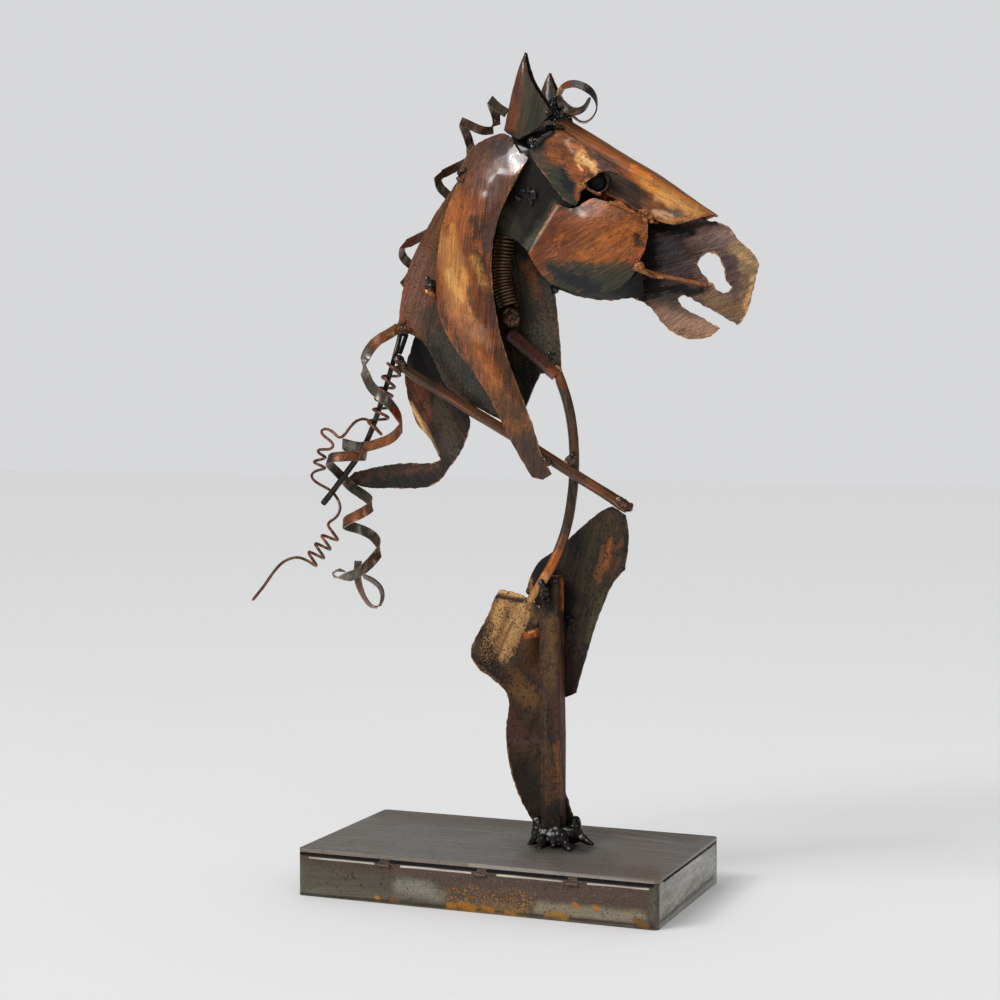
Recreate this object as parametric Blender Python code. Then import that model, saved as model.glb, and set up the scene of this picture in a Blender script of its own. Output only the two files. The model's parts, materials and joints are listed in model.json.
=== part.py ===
"""Horse head and neck welded from scrap sheet, rods, a spring and curled strips, on a steel box.

Metres, +Z up, +X the way the horse looks, origin in the middle of the box's underside.
"""
import math

import bmesh
import bpy
from mathutils import Vector, noise
from mathutils.geometry import delaunay_2d_cdt

# Box
PLINTH_LENGTH = 0.240
PLINTH_WIDTH = 0.132
PLINTH_HEIGHT = 0.0305
PLINTH_PLATE = 0.0025
PLINTH_WALL = 0.0035
PLINTH_CORNER = 0.0025

# Stock that the figure is made of
FIGURE_HEIGHT = 0.505
SHEET = 0.0015
MUZZLE_SHEET = 0.0020
POST_SIDE = 0.0130
POST_WALL = 0.0015
CROSS_ROD = 0.0070
CURVED_ROD = 0.0064
NECK_BAR = 0.0062
BIT_ROD = 0.0030
THIN_ROD = 0.0036
SPRING_WIDTH = 0.0130
SPRING_WIRE = 0.0017
SPRING_TURNS = 21
COIL_WIRE = 0.0019
STRIP_WIDTH = 0.0068
MANE_STRIP_WIDTH = 0.0058
STRIP_SHEET = 0.0009
EYE_PIPE = 0.0155
EYE_WALL = 0.0012

# Room between pieces that touch
GAP = 0.0003

# The figure's outlines are drawn on a view sheet, a picture of the work 1000 points across seen from
# a little to the right. seen() gives the place at a depth behind one of its points.
VIEW_TURN = math.radians(21.62)
VIEW_RISE = math.radians(2.98)
VIEW_DISTANCE = 1.326
VIEW_AIM = Vector((-0.0075, 0.0, 0.2521))
VIEW_FOCUS = 2061
VIEW_MIDDLE = 500
POSE_FLOOR = 0.0305
POSE_HEIGHT = 0.505
SCALE = FIGURE_HEIGHT / POSE_HEIGHT
MM = 0.001

# Depths in millimetres behind the box's middle: the head's middle plane, and the post's middle
MIDDLE = 12
POST_DEPTH = 7.5

RUST = (0.30, 0.11, 0.035)
COPPER = (0.36, 0.15, 0.06)
DARK = (0.035, 0.032, 0.03)
BROWN = (0.13, 0.07, 0.04)
STEEL = (0.16, 0.15, 0.14)


def view_frame():
    """The eye of the view sheet and its forward, sideways and upward directions."""
    level = math.cos(VIEW_RISE)
    back = Vector((math.sin(VIEW_TURN) * level, -math.cos(VIEW_TURN) * level, math.sin(VIEW_RISE)))
    side = Vector((math.cos(VIEW_TURN), math.sin(VIEW_TURN), 0))
    return VIEW_AIM + back * VIEW_DISTANCE, -back, side, back.cross(side)


EYE, FORWARD, SIDE, UPWARD = view_frame()


def seen(u, v, depth):
    """Place of sheet point (u, v) at a depth in millimetres, on the figure at its real size."""
    ray = FORWARD + SIDE * ((u - VIEW_MIDDLE) / VIEW_FOCUS) - UPWARD * ((v - VIEW_MIDDLE) / VIEW_FOCUS)
    place = EYE + ray * ((depth * MM - EYE.y) / ray.y)
    place.z -= POSE_FLOOR
    return place * SCALE + Vector((0, 0, PLINTH_HEIGHT))


def blend(a, b, share):
    return a + (b - a) * share


def ease(value, low, high):
    """0 below low, 1 above high, and a smooth rise between."""
    share = min(1, max(0, (value - low) / (high - low)))
    return share * share * (3 - 2 * share)


def table(rows, value):
    """Read a column of (value, result) pairs between its rows."""
    if value <= rows[0][0]:
        return rows[0][1]
    for (low, a), (high, b) in zip(rows, rows[1:]):
        if value <= high:
            return blend(a, b, (value - low) / (high - low))
    return rows[-1][1]


def smooth(points, count, closed=False):
    """A Catmull-Rom curve through the points, read off at evenly spaced places."""
    points = [Vector(p) for p in points]
    total = len(points)
    spans = total if closed else total - 1
    fine = []
    for i in range(spans):
        if closed:
            a, b, c, d = (points[(i + k) % total] for k in (-1, 0, 1, 2))
        else:
            b, c = points[i], points[i + 1]
            a = points[i - 1] if i else b * 2 - c
            d = points[i + 2] if i + 2 < total else c * 2 - b
        for step in range(12):
            t = step / 12
            fine.append(0.5 * (2 * b + (c - a) * t + (2 * a - 5 * b + 4 * c - d) * t * t
                               + (3 * b - a - 3 * c + d) * t * t * t))
    fine.append(points[0] if closed else points[-1])
    return spread(fine, count + 1 if closed else count)[:count]


def drawn(step, *runs):
    """A closed outline on the view sheet. Each run is a smooth line from the last one's end to a corner."""
    result = []
    start = runs[-1][-1]
    for run in runs:
        line = smooth([Vector(start)] + [Vector(p) for p in run], 100)
        length = sum((b - a).length for a, b in zip(line, line[1:]))
        count = max(1, round(length / step))
        result += spread(line, count + 1)[:-1]
        start = run[-1]
    return result


def spread(points, count):
    """Points evenly spaced along a line of straight runs."""
    far = [0]
    for a, b in zip(points, points[1:]):
        far.append(far[-1] + (b - a).length)
    result = []
    at = 0
    for i in range(count):
        want = far[-1] * i / (count - 1)
        while at < len(points) - 2 and far[at + 1] < want:
            at += 1
        share = (want - far[at]) / max(far[at + 1] - far[at], 1e-12)
        result.append(blend(points[at], points[at + 1], min(1, share)))
    return result


def finish(colour, roughness=0.5, metallic=0.8):
    material = bpy.data.materials.new("finish")
    material.use_nodes = True
    shader = material.node_tree.nodes["Principled BSDF"]
    shader.inputs["Base Color"].default_value = (*colour, 1)
    shader.inputs["Roughness"].default_value = roughness
    shader.inputs["Metallic"].default_value = metallic
    material.diffuse_color = (*colour, 1)
    return material


def add(name, mesh, colour, roughness=0.5, smooth_angle=40):
    """Put a mesh, or a bmesh, in the scene as a named piece with its own material."""
    if isinstance(mesh, bmesh.types.BMesh):
        made = bpy.data.meshes.new(name)
        bmesh.ops.recalc_face_normals(mesh, faces=mesh.faces)
        mesh.to_mesh(made)
        mesh.free()
        mesh = made
    piece = bpy.data.objects.new(name, mesh)
    bpy.context.collection.objects.link(piece)
    mesh.materials.clear()
    mesh.materials.append(finish(colour, roughness))
    if smooth_angle:
        mesh.shade_smooth()
        mesh.set_sharp_from_angle(angle=math.radians(smooth_angle))
    return piece


def inside(point, outline):
    """True when a sheet point is within an outline."""
    hit = False
    for a, b in zip(outline, outline[1:] + outline[:1]):
        if (a.y > point.y) != (b.y > point.y):
            if point.x < a.x + (point.y - a.y) / (b.y - a.y) * (b.x - a.x):
                hit = not hit
    return hit


def edge_distance(point, outline):
    """How far a sheet point is from an outline."""
    nearest = 1e9
    for a, b in zip(outline, outline[1:] + outline[:1]):
        run = b - a
        share = min(1, max(0, (point - a).dot(run) / max(run.dot(run), 1e-9)))
        nearest = min(nearest, (point - a - run * share).length)
    return nearest


def plate(name, outline, depth, colour, cell=9, sheet=SHEET, roughness=0.5):
    """Sheet cut to an outline on the view sheet and pressed to depth(u, v), with true thickness."""
    outline = [Vector(p) for p in outline]
    count = len(outline)
    points = list(outline)
    low_u = min(p.x for p in outline)
    low_v = min(p.y for p in outline)
    rows = int((max(p.y for p in outline) - low_v) / (cell * 0.87)) + 1
    columns = int((max(p.x for p in outline) - low_u) / cell) + 2
    for row in range(rows):
        for column in range(columns):
            spot = Vector((low_u + (column + 0.5 * (row % 2)) * cell, low_v + (row + 0.5) * cell * 0.87))
            if inside(spot, outline) and edge_distance(spot, outline) > cell * 0.45:
                points.append(spot)
    rim = [(i, (i + 1) % count) for i in range(count)]
    flat, _, faces, _, _, _ = delaunay_2d_cdt(points, rim, [], 1, 1e-6)
    mesh = bmesh.new()
    spots = [mesh.verts.new(seen(p.x, p.y, depth(p.x, p.y))) for p in flat]
    for face in faces:
        centre = sum((flat[i] for i in face), Vector((0, 0))) / len(face)
        if inside(centre, outline):
            mesh.faces.new([spots[i] for i in face])
    return add(name, thicken(mesh, sheet), colour, roughness)


def thicken(mesh, sheet):
    """Give an open surface its thickness, half to each side, and close its rim."""
    bmesh.ops.delete(mesh, geom=[v for v in mesh.verts if not v.link_faces], context="VERTS")
    bmesh.ops.recalc_face_normals(mesh, faces=mesh.faces)
    mesh.normal_update()
    border = [e for e in mesh.edges if e.is_boundary]
    shift = {v: v.normal * (sheet / 2 * v.calc_shell_factor()) for v in mesh.verts}
    front = list(mesh.faces)
    twin = {v: mesh.verts.new(v.co - shift[v]) for v in list(mesh.verts)}
    for vert, move in shift.items():
        vert.co += move
    for face in front:
        mesh.faces.new([twin[v] for v in reversed(face.verts)])
    for edge in border:
        a, b = edge.verts
        mesh.faces.new([a, b, twin[b], twin[a]])
    bmesh.ops.recalc_face_normals(mesh, faces=mesh.faces)
    return mesh


def loft(name, ribs, colour, sheet=SHEET, roughness=0.5):
    """Sheet bent through ribs, each a line of as many places."""
    mesh = bmesh.new()
    grid = [[mesh.verts.new(p) for p in rib] for rib in ribs]
    for a, b in zip(grid, grid[1:]):
        for i in range(len(a) - 1):
            mesh.faces.new([a[i], a[i + 1], b[i + 1], b[i]])
    return add(name, thicken(mesh, sheet), colour, roughness)


def ring(sides, radius, turn=0):
    """The corners of a round or square section."""
    return [Vector((math.cos(math.tau * i / sides + turn), math.sin(math.tau * i / sides + turn))) * radius
            for i in range(sides)]


def strip_section(width, sheet):
    return [Vector(p) for p in ((width / 2, sheet / 2), (-width / 2, sheet / 2),
                                (-width / 2, -sheet / 2), (width / 2, -sheet / 2))]


def sweep(name, path, section, colour, wide=None, size=None, roughness=0.5):
    """Run a section along a path. wide(share) is the direction that the section's first side keeps."""
    mesh = bmesh.new()
    loops = []
    across = Vector((0, 1, 0))
    for i, place in enumerate(path):
        share = i / (len(path) - 1)
        ahead = (path[min(i + 1, len(path) - 1)] - path[max(i - 1, 0)]).normalized()
        if wide:
            across = wide(share)
        across = (across - ahead * across.dot(ahead)).normalized()
        up = ahead.cross(across)
        grow = size(share) if size else 1
        loops.append([mesh.verts.new(place + (across * p.x + up * p.y) * grow) for p in section])
    for a, b in zip(loops, loops[1:]):
        for i in range(len(section)):
            j = (i + 1) % len(section)
            mesh.faces.new([a[i], a[j], b[j], b[i]])
    mesh.faces.new(list(reversed(loops[0])))
    mesh.faces.new(loops[-1])
    return add(name, mesh, colour, roughness)


def weld(name, place, size, stretch, colour, seed):
    """A lumpy drop of weld."""
    mesh = bmesh.new()
    bmesh.ops.create_icosphere(mesh, subdivisions=2 if size > 4.1 * MM else 1, radius=size)
    for vert in mesh.verts:
        vert.co *= 1 + 0.25 * noise.noise(vert.co * (2 / size) + Vector((seed, seed, seed)))
        vert.co = Vector(a * b for a, b in zip(vert.co, stretch)) + place
    return add(name, mesh, colour, 0.35)


def fattened(piece, room):
    """A copy of a piece's mesh with every side moved out by the room."""
    mesh = bmesh.new()
    mesh.from_mesh(piece.data)
    mesh.normal_update()
    shift = {v: v.normal * (room * min(3, v.calc_shell_factor())) for v in mesh.verts}
    for vert, move in shift.items():
        vert.co += move
    data = bpy.data.meshes.new("cutter")
    mesh.to_mesh(data)
    mesh.free()
    return data


def notch(piece, *others, room=1.4 * GAP):
    """Cut a piece back from the others, and keep its largest part."""
    for other in others:
        cutter = bpy.data.objects.new("cutter", fattened(other, room))
        bpy.context.collection.objects.link(cutter)
        cutter.hide_render = True
        cutter.display_type = "WIRE"
        cut = piece.modifiers.new("notch", "BOOLEAN")
        cut.operation = "DIFFERENCE"
        cut.solver = "EXACT"
        cut.object = cutter
        bpy.context.view_layer.update()
        shaped = piece.evaluated_get(bpy.context.evaluated_depsgraph_get())
        result = bpy.data.meshes.new_from_object(shaped)
        piece.modifiers.clear()
        piece.data = result
        bpy.data.objects.remove(cutter)
    keep_largest(piece)


def keep_largest(piece):
    """Delete all but the largest connected part of a piece."""
    mesh = bmesh.new()
    mesh.from_mesh(piece.data)
    left = set(mesh.verts)
    parts = []
    while left:
        part = set()
        edge = [left.pop()]
        while edge:
            vert = edge.pop()
            part.add(vert)
            for link in vert.link_edges:
                other = link.other_vert(vert)
                if other in left:
                    left.discard(other)
                    edge.append(other)
        parts.append(part)
    parts.sort(key=lambda part: extent(part), reverse=True)
    for part in parts[1:]:
        bmesh.ops.delete(mesh, geom=list(part), context="VERTS")
    mesh.to_mesh(piece.data)
    mesh.free()


def extent(verts):
    """The diagonal of the box round some vertices."""
    low = Vector(min(v.co[i] for v in verts) for i in range(3))
    high = Vector(max(v.co[i] for v in verts) for i in range(3))
    return (high - low).length


def far_side(piece, name=None):
    """Turn a piece, or a named copy of it, to the far side of the head's middle plane."""
    mesh = bmesh.new()
    mesh.from_mesh(piece.data)
    plane = 2 * MIDDLE * MM * SCALE
    for vert in mesh.verts:
        vert.co.y = plane - vert.co.y
    bmesh.ops.reverse_faces(mesh, faces=mesh.faces)
    if name:
        return add(name, mesh, BROWN)
    mesh.to_mesh(piece.data)
    mesh.free()
    return piece


def box(name, low, high, colour, rounded=None):
    """A plate between two corners. The upright edges that rounded(place) picks get a rounded corner."""
    mesh = bmesh.new()
    bmesh.ops.create_cube(mesh, size=1)
    for vert in mesh.verts:
        vert.co = Vector(blend(a, b, c + 0.5) for a, b, c in zip(low, high, vert.co))
    if rounded:
        corners = [e for e in mesh.edges if abs(e.verts[0].co.z - e.verts[1].co.z) > 1e-6
                   and rounded(e.verts[0].co)]
        bmesh.ops.bevel(mesh, geom=corners, offset=PLINTH_CORNER, segments=3, profile=0.5,
                        affect="EDGES")
    return add(name, mesh, colour, 0.5, 30)


def build_plinth():
    """Top and bottom plates, and four walls that butt behind the long front one."""
    length, width = PLINTH_LENGTH / 2, PLINTH_WIDTH / 2
    wall_top = PLINTH_HEIGHT - PLINTH_PLATE - GAP
    inner = PLINTH_WALL + GAP
    box("plinth_top", (-length, -width, PLINTH_HEIGHT - PLINTH_PLATE), (length, width, PLINTH_HEIGHT),
        STEEL, rounded=lambda place: True)
    box("plinth_bottom", (-length + inner, -width + inner, 0), (length - inner, width - inner, PLINTH_PLATE),
        STEEL)
    box("plinth_front", (-length, -width, 0), (length, -width + PLINTH_WALL, wall_top), STEEL,
        rounded=lambda place: place.y < -width + PLINTH_WALL / 2)
    box("plinth_back", (-length, width - PLINTH_WALL, 0), (length, width, wall_top), STEEL,
        rounded=lambda place: place.y > width - PLINTH_WALL / 2)
    for name, side in (("plinth_left", -1), ("plinth_right", 1)):
        ends = sorted((side * length, side * (length - PLINTH_WALL)))
        box(name, (ends[0], -width + inner, 0), (ends[1], width - inner, wall_top), STEEL)


def build_post():
    """Square tube with an open top, leaning a little, on the box."""
    half = POST_SIDE / 2
    foot, head = seen(554, 836, POST_DEPTH), seen(551.6, 575.5, POST_DEPTH)
    foot.z = PLINTH_HEIGHT + GAP
    mesh = bmesh.new()
    for side in (half, half - POST_WALL):
        for end in (foot, head):
            for a, b in ((-1, -1), (1, -1), (1, 1), (-1, 1)):
                mesh.verts.new(end + Vector((a * side, b * side, 0)))
    mesh.verts.ensure_lookup_table()
    for i in range(4):
        j = (i + 1) % 4
        for loop in ((i, j, j + 4, i + 4), (j + 8, i + 8, i + 12, j + 12),
                     (i + 4, j + 4, j + 12, i + 12), (j, i, i + 8, j + 8)):
            mesh.faces.new([mesh.verts[k] for k in loop])
    return add("post", mesh, BROWN, 0.55, 30)


def build_foot_weld():
    """Collar of weld round the foot of the post: its claws reach out over the box."""
    foot = seen(554, 836, POST_DEPTH)
    sides = 16
    rings = []
    for reach, rise in ((None, 0), (1, 0), (0.62, 0.45), (0.25, 0.85), (None, 1)):
        loop = []
        for i in range(sides):
            turn = math.tau * i / sides
            way = Vector((math.cos(turn), math.sin(turn), 0))
            square = (POST_SIDE / 2 + 1.6 * GAP) / max(abs(way.x), abs(way.y))
            claw = 0.0042 + 0.0030 * math.sin(5 * turn + 0.6) + 0.0035 * ease(way.x, 0, 1)
            tall = 0.0048 + 0.0036 * ease(-way.y, -0.3, 0.6)
            place = way * (square + (reach or 0) * claw)
            loop.append(Vector((foot.x + place.x, foot.y + place.y,
                                PLINTH_HEIGHT + GAP + rise * tall)))
        rings.append(loop)
    mesh = bmesh.new()
    rings = [[mesh.verts.new(p) for p in loop] for loop in rings]
    for a, b in zip(rings, rings[1:] + rings[:1]):
        for i in range(sides):
            j = (i + 1) % sides
            mesh.faces.new([a[i], a[j], b[j], b[i]])
    return add("foot_weld", mesh, DARK, 0.3, 60)


def build_leg_plate():
    """Bent plate: a flap towards the viewer, and a blade that runs back behind the post to the foot."""
    edge = drawn(11, [(511, 591.5), (522, 594.5), (538.8, 605.5)], [(540.2, 622), (542, 652)],
                 [(546, 668), (550, 700)], [(553, 750), (565.4, 791)], [(571, 809), (577.5, 829)],
                 [(557, 830), (536.5, 828)], [(532, 818), (520, 797), (508.4, 760), (505, 727)],
                 [(508, 712), (509, 699), (504.5, 689)], [(490, 677), (479, 669)],
                 [(472.5, 659), (471.5, 648), (478, 634)], [(489, 615), (495.5, 596)], [(500, 589.5)])
    fold = ((607, 537), (634, 526), (655, 510.5), (680, 497), (740, 496), (800, 500.5), (832, 503))

    def depth(u, v):
        past = u - table(fold, v)
        return POST_DEPTH - 6 + min(13.9, max(0, past) * 0.42) + 0.06 * min(0, past)

    return plate("leg_plate", edge, depth, RUST, cell=20)


def build_chest_plate():
    """Dark plate behind the post, leaning forward to its top corner under the cross rod."""
    edge = drawn(10, [(600, 512), (571, 536), (553, 551.5), (540, 560)], [(532, 573), (526, 592)],
                 [(545, 612)], [(550, 660), (556, 694)], [(564, 698), (576.5, 693)],
                 [(582, 670), (595.4, 624), (607, 593)], [(617, 577), (625, 570)],
                 [(629, 537), (626, 515)], [(612, 506.5)])

    def depth(u, v):
        return blend(9.5, POST_DEPTH + 10.3, ease(v, 497, 577)) - 0.02 * (u - 575)

    return plate("chest_plate", edge, depth, DARK, cell=23)


def build_rods():
    """The square bar, the cross rod with its collar, the curved rod and the bit."""
    ends = [seen(509, 333.5, 6), seen(557, 375.5, 6)]
    bar = sweep("neck_bar", ends, ring(4, NECK_BAR / math.sqrt(2)), BROWN)
    left, right = seen(399, 365.5, -21), seen(628.3, 508, 10.1)
    stops = (0, 0.04, 0.3, 0.6, 0.945, 0.955, 0.985, 1)
    sizes = ((0, 0.8), (0.04, 1), (0.945, 1), (0.955, 1.12), (0.985, 1.12), (1, 0.95))
    cross = sweep("cross_rod", [blend(left, right, s) for s in stops], ring(10, CROSS_ROD / 2), RUST,
                  size=lambda s: table(sizes, stops[round(s * (len(stops) - 1))]))
    bent = [(555.5, 368, 7), (562, 383, 8.5), (568, 400, 10), (571.5, 420, 10), (574, 443, 10),
            (574.4, 470, 10), (573, 496, 9), (568, 522, 6), (560, 547, 1.5), (550, 569.5, -2.6),
            (540, 586, -3), (530, 601, -3)]
    curved = sweep("curved_rod", smooth([seen(*p) for p in bent], 13), ring(7, CURVED_ROD / 2), BROWN,
                   size=lambda s: 1 - 0.35 * ease(s, 0.9, 1))
    notch(curved, bar)
    path = [(638, 268.5, -14.5), (655, 274, -5), (680, 279, 3), (705, 284.5, 8.6)]
    bit = sweep("bit_rod", smooth([seen(*p) for p in path], 6), ring(6, BIT_ROD / 2), COPPER,
                size=lambda s: 1.1 - 0.3 * s)
    return bar, cross, curved, bit


def build_spring(plate_behind, bar):
    """Close coil spring that leans on the neck plate, wound by a loop along its bent middle line."""
    middle = smooth([seen(506.5, 236.5, 4), seen(502, 262, 3.8), seen(502.5, 285, 3.8),
                     seen(508, 308, 4)], 40)
    steps = 5
    count = SPRING_TURNS * steps
    radius = (SPRING_WIDTH - SPRING_WIRE) / 2
    path = []
    for i in range(count + 1):
        at = i / count * (len(middle) - 1)
        low = min(int(at), len(middle) - 2)
        ahead = (middle[low + 1] - middle[low]).normalized()
        side = ahead.cross(Vector((0, 1, 0))).normalized()
        turn = math.tau * i / steps
        path.append(blend(middle[low], middle[low + 1], at - low)
                    + (side * math.cos(turn) + ahead.cross(side) * math.sin(turn)) * radius)
    spring = sweep("neck_spring", path, ring(3, SPRING_WIRE / 2), BROWN)
    nut = weld("spring_end", seen(511, 317.5, 5), 0.0064, (1, 0.85, 1.1), DARK, 4)
    notch(nut, spring, plate_behind, bar)
    return spring, nut


def build_neck_plate():
    """Middle plate of the neck, crowned along the throat."""
    edge = drawn(12, [(531, 243), (543, 264), (551, 279), (553.3, 289)],
                 [(557, 312), (561, 355), (561.5, 368)],
                 [(556, 373), (540.6, 374)], [(533, 389), (526, 407)],
                 [(500, 392), (460, 378), (433, 345), (416, 318)], [(433, 258), (470, 196), (490, 185)],
                 [(513, 220)])
    return plate("neck_plate", edge, lambda u, v: 11.5 + 0.0047 * max(0, abs(u - 532) - 4) ** 2
                 * ease(u, 505, 515), DARK, cell=27)


def leaf(stations):
    """Depth from stations (v, left u, left depth, right u, right depth, crown towards the viewer)."""
    def depth(u, v):
        row = [table([(s[0], s[i]) for s in stations], v) for i in range(1, 6)]
        share = min(1.1, max(-0.1, (u - row[0]) / (row[2] - row[0])))
        return blend(row[1], row[3], share) - row[4] * 4 * share * (1 - share)
    return depth


def build_mane():
    """The two long leaves of the mane, and the folded lock behind them."""
    edge = drawn(11, [(513.5, 142), (520, 152), (528.8, 157.6)],
                 [(516.7, 177.4), (500, 215.7), (491.5, 258), (494, 300), (505, 352), (527, 410),
                  (541, 455), (552, 474.5)], [(547, 480), (533, 477.5)],
                 [(512, 443), (485, 389), (454, 345), (439.5, 312), (437, 270), (444, 221), (459.4, 178),
                  (468.3, 152.5), (485.7, 138.7), (504.7, 132.5)], [(513, 137)])
    stations = ((132, 500, 0, 510, -4, 0), (145, 476, 2, 514, -11, 1), (160, 465, -3, 528, -15.2, 5),
                (180, 459, -7, 515, -18, 5), (215, 445, -12, 500, -18.5, 5.5), (250, 439, -15, 492, -18, 6),
                (290, 437.5, -16.5, 493, -18, 6), (330, 445, -17.5, 498, -17.5, 5),
                (360, 464, -18, 508, -17, 4), (400, 492, -17.3, 523, -13.5, 2.5),
                (440, 511, -11.5, 536, -9, 1.5), (480, 536, -6.5, 552, -5, 0.5))
    mane_front = plate("mane_front", edge, leaf(stations), COPPER, cell=19)
    edge = drawn(10, [(455, 186), (434, 219), (412, 262), (402.5, 297), (398, 330)],
                 [(409, 334), (425, 343), (438, 367), (448, 387), (473, 404.5), (501, 420)],
                 [(498, 385), (480, 315), (474, 240), (478, 175)], [(470, 166)])
    stations = ((166, 468, 4, 478, 0, 0), (200, 446, 5, 476, -9, 2), (250, 417, 5, 474, -14, 3),
                (300, 402, 3, 477, -16, 4), (335, 404, -2, 486, -14, 4), (365, 437, -5.5, 493, -11.5, 3),
                (395, 457, -6, 500, -9.5, 2), (420, 495, -5.5, 505, -6, 0))
    mane_back = plate("mane_back", edge, leaf(stations), BROWN, cell=18)
    edge = drawn(10, [(405, 372), (410, 402), (418, 425)], [(430, 438), (440, 459)],
                 [(435, 463), (400, 464), (378.5, 466.3)], [(364, 470), (351, 474), (348, 480)],
                 [(360, 486.5), (386, 488), (420, 488.5), (438, 482.5), (449, 467)],
                 [(462, 450), (471, 425)], [(464, 397), (450, 365), (436, 341)], [(416, 333.5)])

    def fold(u, v):
        upper = blend(1.5, -3, ease(v, 340, 440)) + 0.05 * (u - 425)
        return blend(upper, 5 + 0.135 * (440 - u), ease(v, 440, 475))

    lock = plate("mane_lock", edge, fold, DARK, cell=18)
    edge = drawn(14, [(468, 215), (458, 260), (455, 300)], [(470, 345), (505, 385)],
                 [(516, 350), (508, 300), (505, 250), (502, 200)], [(480, 190)])
    stations = ((190, 474, 13.2, 503, 14.5, -3), (215, 466, 13.2, 506, 15, -5),
                (260, 456, 13.2, 507, 15.5, -8), (300, 452, 13.2, 510, 15.5, -8),
                (345, 468, 13.2, 517, 15, -6), (390, 503, 13.2, 520, 14, -2))
    far = plate("mane_far", edge, leaf(stations), BROWN, cell=22)
    return mane_front, mane_back, lock, far


def dome(centre, radii, low, high):
    """Depth of a shallow dome: high in the middle, low from its edges outwards."""
    def depth(u, v):
        far = ((u - centre[0]) / radii[0]) ** 2 + ((v - centre[1]) / radii[1]) ** 2
        return high + (low - high) * min(1, far)
    return depth


def build_side(side, fine):
    """Skull, cheek, jaw and brow plates as seen on the side towards the viewer."""
    edge = drawn(13, [(541, 150), (556, 168), (574, 190), (577, 203)], [(562, 216), (547, 240), (537, 259)],
                 [(524, 247), (513.4, 236.5)], [(500, 234), (489, 232)],
                 [(494, 210), (507, 184), (522, 162)], [(529.5, 150)])
    skull = plate("skull_" + side, edge, lambda u, v: -12.2 + 0.02 * max(0, v - 200) + 0.06 * max(0, 528 - u),
                  DARK, cell=22 * fine)
    edge = drawn(9 * fine, [(561, 206), (570, 209.7), (580, 207)], [(588, 199.5), (596, 198.3), (609, 203)],
                 [(617, 200.4), (633, 211), (645, 217)], [(647.5, 228), (645.5, 246), (632.5, 276.5)],
                 [(618, 288.5), (600, 294.5)], [(576, 291.5), (551, 283.5)],
                 [(538, 270), (528.5, 253)], [(537, 237), (546, 221), (555, 203.5)])
    over = dome((597, 236), (54, 48), -14.2, -24)
    cheek = plate("cheek_" + side, edge, lambda u, v: over(u, v) + 4.2 * ease(v, 262, 294), COPPER,
                  cell=14 * fine)
    edge = drawn(11, [(560, 282), (590, 291), (610, 290)], [(630, 279), (639, 269)],
                 [(643, 280), (645, 298)], [(629, 295.5), (608, 298.5), (576.5, 294.5), (551, 285)])
    top = ((550, 279), (560, 281), (590, 290), (610, 289), (641, 262))
    line = ((550, 286), (562, 293), (592, 298.5), (620, 299), (645, 298))

    def keel(u, v):
        return blend(-8, 9.8, ease(v, table(top, u) + 1, table(line, u)))

    jaw = plate("jaw_" + side, edge, keel, DARK, cell=14)
    edge = drawn(8 * fine, [(536, 143), (551, 133.5), (567, 136.5)], [(590.6, 150), (612.5, 168)],
                 [(619.5, 175)],
                 [(603, 170.5), (595.7, 175.5), (584.5, 182.5)], [(587, 186.5)],
                 [(581, 191), (580, 199), (576, 206)], [(565, 200.5), (548, 179), (533, 159)],
                 [(529.5, 151)])

    def lid(u, v):
        ridge = 1 - min(1, abs((v - 150) - 0.62 * (u - 560)) / 30)
        return -14.4 - 7.5 * ridge * ease(u, 535, 580) - 2 * ease(u, 545, 590)

    brow = plate("brow_" + side, edge, lid, COPPER, cell=11 * fine)
    return skull, cheek, jaw, brow


def build_eye(name):
    """Short pipe that stands on the nose plate and makes the eye."""
    front, back = -20.5, -14.4
    centre = seen(597, 181.5, front)
    mesh = bmesh.new()
    loops = []
    for radius, depth in ((EYE_PIPE / 2, front), (EYE_PIPE / 2, back), (EYE_PIPE / 2 - EYE_WALL, back),
                          (EYE_PIPE / 2 - EYE_WALL, front)):
        loops.append([mesh.verts.new(Vector((centre.x + p.x, depth * MM * SCALE, centre.z + p.y)))
                      for p in ring(14, radius)])
    for a, b in zip(loops, loops[1:] + loops[:1]):
        for i in range(14):
            j = (i + 1) % 14
            mesh.faces.new([a[i], a[j], b[j], b[i]])
    return add(name, mesh, DARK, 0.5, 30)


def build_nose():
    """Half cone from the poll to the muzzle: each rib is an arch over the middle plane."""
    ridge = ((562, 117.2), (588, 131.4), (618.5, 150.5), (640, 163.7), (659, 175.8), (685, 193.2),
             (708, 209.4), (717.5, 216.3))
    lower = ((556, 152, -13), (570, 168, -13), (590, 186, -13), (615.5, 199, -12.7), (640, 212.5, -12),
             (668, 226, -8), (691, 219.5, 1), (711, 214.3, 8))
    steps = 8
    ribs = []
    for top, foot in zip(ridge, lower):
        crown, near = seen(*top, MIDDLE), seen(*foot)
        rib = []
        for step in range(steps + 1):
            turn = math.pi * (step / steps - 0.5)
            fall = 1 - math.cos(turn)
            rib.append(crown + Vector(((near.x - crown.x) * fall, (crown.y - near.y) * math.sin(turn),
                                       (near.z - crown.z) * fall)))
        ribs.append(rib)
    lines = [smooth([rib[i] for rib in ribs], 10) for i in range(steps + 1)]
    return loft("nose_plate", [[line[k] for line in lines] for k in range(10)], COPPER)


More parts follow.
